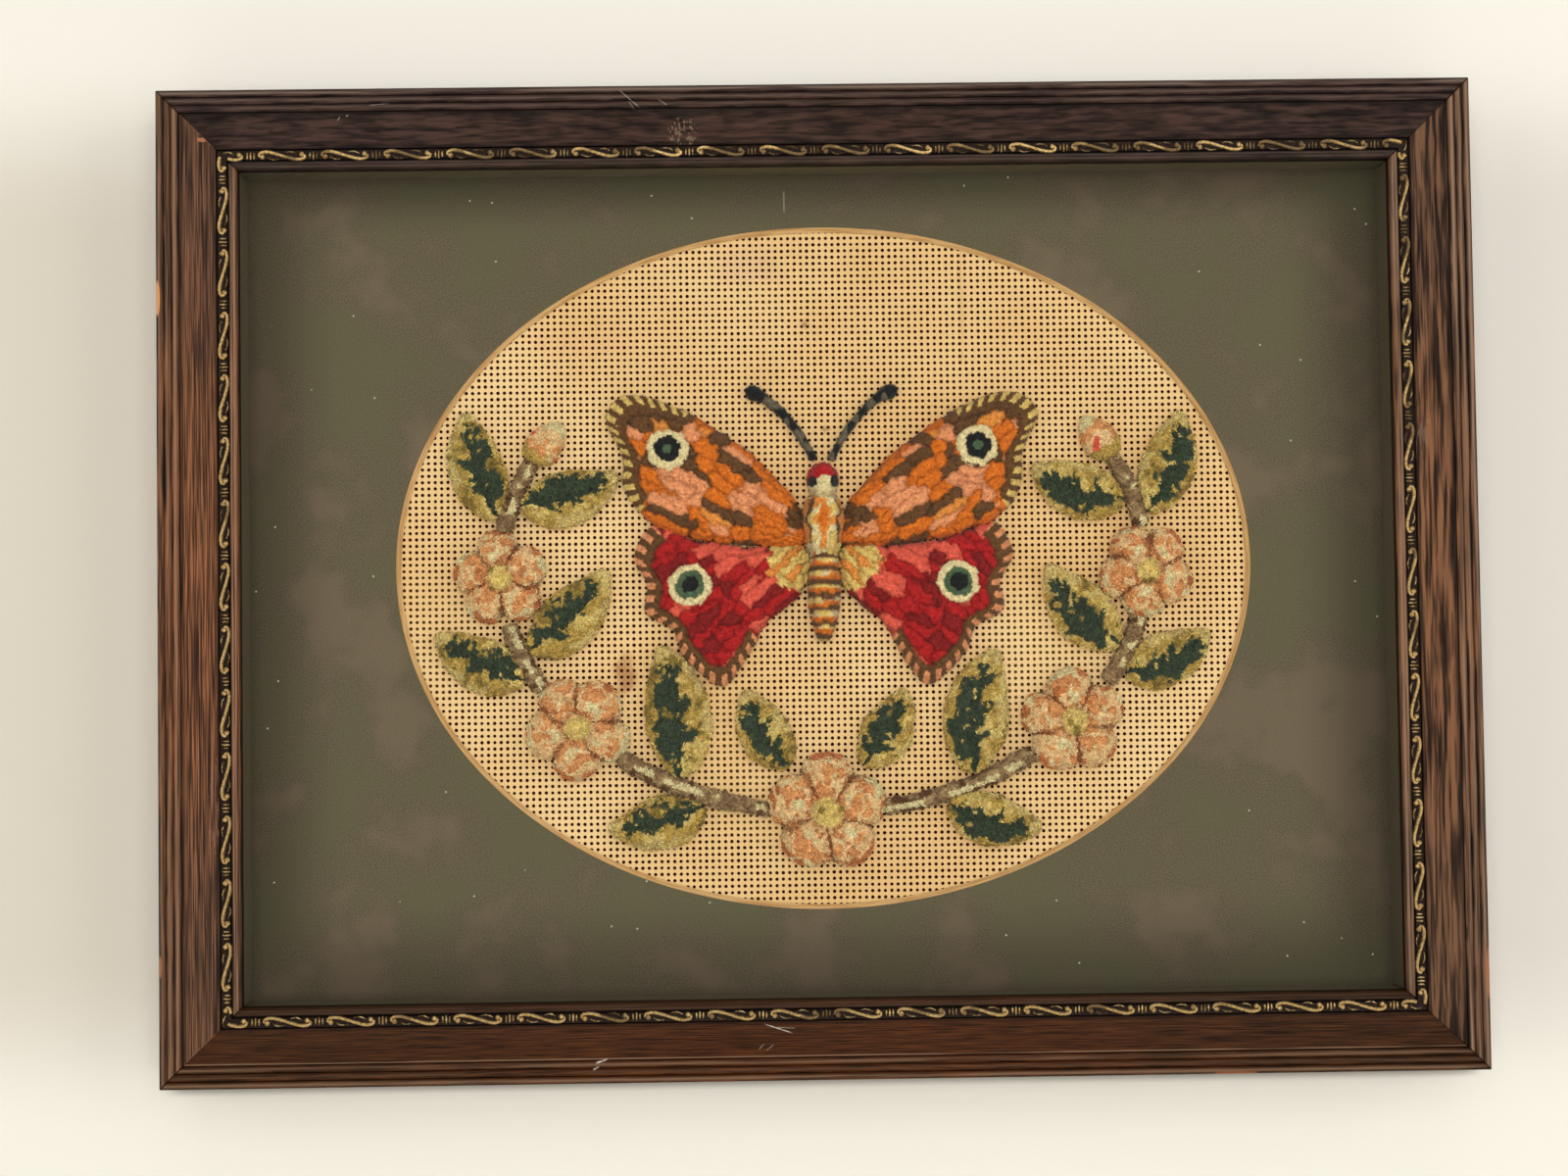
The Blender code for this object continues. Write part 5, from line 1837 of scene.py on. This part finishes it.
def join_parts(mesh, faces, parts):
    """Rebuild the mesh from its form and all its strands, with their colours."""
    points = np.concatenate([part[0] for part in parts])
    lists = [np.concatenate([np.asarray(face, np.int64) for face in faces])]
    sizes = [np.array([len(face) for face in faces])]
    start = len(parts[0][0])
    for part_points, part_faces, _ in parts[1:]:
        lists.append((part_faces + start).ravel())
        sizes.append(np.full(len(part_faces), part_faces.shape[1]))
        start += len(part_points)
    corners, size = np.concatenate(lists), np.concatenate(sizes)
    mesh.clear_geometry()
    mesh.vertices.add(len(points))
    mesh.vertices.foreach_set("co", points.ravel())
    mesh.loops.add(len(corners))
    mesh.loops.foreach_set("vertex_index", corners)
    mesh.polygons.add(len(size))
    mesh.polygons.foreach_set("loop_start", np.cumsum(size) - size)
    mesh.update(calc_edges=True)
    if not mesh_faces_out(points, faces):
        mesh.flip_normals()
    put_colours(mesh, "wool", np.concatenate([part[2] for part in parts]))
    mesh.validate()


def mesh_faces_out(points, faces):
    """True if the form's faces, taken in order, already point outwards."""
    volume = 0.0
    for face in faces:
        a = points[face[0]]
        for k in range(1, len(face) - 1):
            volume += np.dot(a, np.cross(points[face[k]], points[face[k + 1]]))
    return volume > 0


def add_wool(material):
    """All the motifs. Gives the outlines of what they cover."""
    outlines = []

    def mound(name, kind, outline, centre, chart, seed):
        height, slot, pile = MOUNDS[kind]
        outlines.append(outline)
        piled(name, net_form(outline, centre, height), chart, pile, seed, material)

    def ridge(name, kind, line, chart, seed):
        *sizes, slot, pile = RIDGES[kind]
        outlines.append(line_outline(line))
        piled(name, ridge_form(line, *sizes), chart, pile, seed, material)

    def flower(name, place, mirror, tilt, seed):
        outline, centre = flower_outline(place, mirror, tilt)
        mound(name, "flower", outline, centre, flower_chart(seed, centre, place[1] * MM, tilt), seed)

    flower("flower_low", LOW_FLOWER, 1, math.pi / 2, 100)
    for side, mirror, odd in (("_right", 1, 0), ("_left", -1, 50)):
        flower("flower_side" + side, SIDE_FLOWER, mirror, mirror * FLOWER_TURN, 101 + odd)
        flower("flower_high" + side, HIGH_FLOWER, mirror, -mirror * FLOWER_TURN, 102 + odd)
        mound("bud" + side, "bud", *bud_outline(mirror), bud_chart(103 + odd, mirror), 103 + odd)
        stops = (LOW_FLOWER, SIDE_FLOWER, HIGH_FLOWER, (BUD_ANGLE, BUD_RADIUS / MM))
        for number, name in enumerate(("stem_low", "stem_middle", "stem_high")):
            seed = 104 + number + odd
            line = stem_line(stops[number], stops[number + 1], mirror)
            ridge(name + side, "stem", line, stem_chart(seed), seed)
        for number, row in enumerate(LEAVES):
            seed = 110 + number + odd
            chart = leaf_chart(seed, 1 if number % 2 else -1)
            ridge(row[0] + side, "leaf", stem_leaf_line(row, mirror), chart, seed)
        ridge("leaf_low" + side, "leaf", low_leaf_line(mirror), leaf_chart(120 + odd), 120 + odd)
        for name, look in WINGS.items():
            x, z = look["centre"]
            centre = (mirror * x * MM, z * MM + BUTTERFLY_Z)
            outline = smooth_outline(look["outline"], mirror)
            mound(name + side, name, outline, centre, wing_chart(name, mirror), 130 + odd)
        rows = [(mirror * x, z + BUTTERFLY_Z / MM, half) for x, z, half in ANTENNA_SECTIONS]
        ridge("antenna" + side, "antenna", eased(rows, ANTENNA_STEPS) * MM, antenna_chart, 140 + odd)
    rows = [(0.0, z + BUTTERFLY_Z / MM, half) for z, half in BODY_SECTIONS]
    ridge("butterfly_body", "body", eased(rows, BODY_STEPS) * MM, body_chart, 150)
    return outlines


# The stage, the lights and the camera


def wall_material():
    """Pale paint, with painted shade beside the frame and a painted shadow in a soft line just under it."""
    m = Nodes("pale_paint")
    half_width, half_height = HALF_SIZE["X"], HALF_SIZE["Z"]
    aside = m.size(m.axes["X"])
    level = m.size(m.less(m.axes["Z"], CENTRE_Z))
    beside = m.times(m.ramp(aside, *SHADE_GROWS), m.ramp(aside, *SHADE_FADES))
    beside = m.times(beside, m.ramp(level, half_height + SHADE_PAST, half_height - SHADE_SHORT))
    shaded = m.mix(m.ramp(m.axes["X"], -half_width, half_width), *SHADE_TONES)
    line = CAD_LOW.z - SHADOW_DOWN
    under = m.ramp(m.axes["Z"], line - SHADOW_SOFT, line, 0.0, 0.7)
    under = m.times(under, m.ramp(m.axes["Z"], CAD_LOW.z + SHADOW_UP, CAD_LOW.z))
    under = m.times(under, m.ramp(aside, half_width + SHADOW_PAST, half_width))
    return m.finish(m.mix(under, m.mix(beside, PAINT_TONE, shaded), SHADOW_TONE), 0.9)


def add_stage():
    """A pale floor, and a pale wall with an opening behind the frame, so that its back shows from behind."""
    x, low, high = HALF_SIZE["X"] - WALL_LAP, CAD_LOW.z + WALL_LAP, CAD_HIGH.z - WALL_LAP
    reach, top, floor = WALL_REACH, WALL_TOP, CENTRE_Z - FLOOR_DROP
    # the wall's plain back hides the shade that its front is painted with
    points, faces = [], []
    for gap in (WALL_GAP, WALL_GAP + WALL_THICK):
        start, y = len(points), CAD_HIGH.y + gap
        points += [(-reach, y, floor), (reach, y, floor), (reach, y, top), (-reach, y, top)]
        points += [(-x, y, low), (x, y, low), (x, y, high), (-x, y, high)]
        faces += [[start + k, start + (k + 1) % 4, start + 4 + (k + 1) % 4, start + 4 + k] for k in range(4)]
    ground = [(sx * reach, sy * FLOOR_REACH, floor) for sx, sy in ((-1, -1), (1, -1), (1, 1), (-1, 1))]
    plain = Nodes("plain_paint").finish(PAINT_TONE, 0.9)
    for name, shape, paints in (
        ("wall", (points, faces), (wall_material(), plain)),
        ("floor", (ground, [[0, 1, 2, 3]]), (plain,)),
    ):
        made = linked(name, mesh_from(name, *shape))
        for paint in paints:
            made.data.materials.append(paint)
        for face in made.data.polygons[4:]:
            face.material_index = 1


def add_lights():
    """Soft light from two windows, a pale ceiling and the front, with a lamp for the picture's back."""
    middle = Vector((0, 0, CENTRE_Z))
    for name, place, size, power, colour in LIGHTS:
        light = bpy.data.lights.new(name, "AREA")
        light.shape = "RECTANGLE"
        light.size, light.size_y = size
        light.energy = power
        light.color = colour
        lamp = linked(name, light)
        lamp.location = Vector(place) + middle
        lamp.rotation_euler = (middle - lamp.location).to_track_quat("-Z", "Y").to_euler()
        # the soft light from the front isn't mirrored in the glass
        lamp.visible_glossy = name != "front"
    world = bpy.data.worlds.new("room")
    world.use_nodes = True
    background = world.node_tree.nodes["Background"]
    background.inputs["Color"].default_value = ROOM_COLOUR
    background.inputs["Strength"].default_value = ROOM_LIGHT
    bpy.context.scene.world = world


def add_camera():
    """The camera at the photograph's place and angle."""
    lens = bpy.data.cameras.new("camera")
    lens.sensor_width = CAMERA_SENSOR
    lens.lens = CAMERA_LENS
    lens.clip_start = CAMERA_NEAR
    camera = linked("camera", lens)
    turn = Matrix.Rotation(CAMERA_YAW, 3, "Z")
    turn = turn @ Matrix.Rotation(CAMERA_PITCH, 3, "X") @ Matrix.Rotation(CAMERA_ROLL, 3, "Y")
    look = turn @ Matrix.Rotation(math.pi / 2, 3, "X")
    place = Vector(CAMERA_PLACE) + Vector((0, 0, CENTRE_Z))
    camera.matrix_world = Matrix.Translation(place) @ look.to_4x4()
    bpy.context.scene.camera = camera
    bpy.context.scene.view_settings.view_transform = "Standard"


# The scene


add_camera()
add_lights()
add_stage()
for side in SIDE_WAYS:
    add_rail(side)
    add_gilt_strip(side)
add_mat(olive_material("olive_board", *MAT_TONES, True), core_material())
wool_outlines = add_wool(wool_material())
add_card(covered_by(wool_outlines, WOOL_COVER), card_material(), hole_material())
dress("glass", glass_material())
dress("backing_board", backing_material())
# the pane is so clear that the light that falls through it needs no tracing
frame["nodes"]["glass"].visible_shadow = False
frame["nodes"]["glass"].visible_diffuse = False
fillet_board = olive_material("fillet_board", *FILLET_TONES, False)
for side in SIDE_WAYS:
    dress("fillet_" + side, fillet_board)
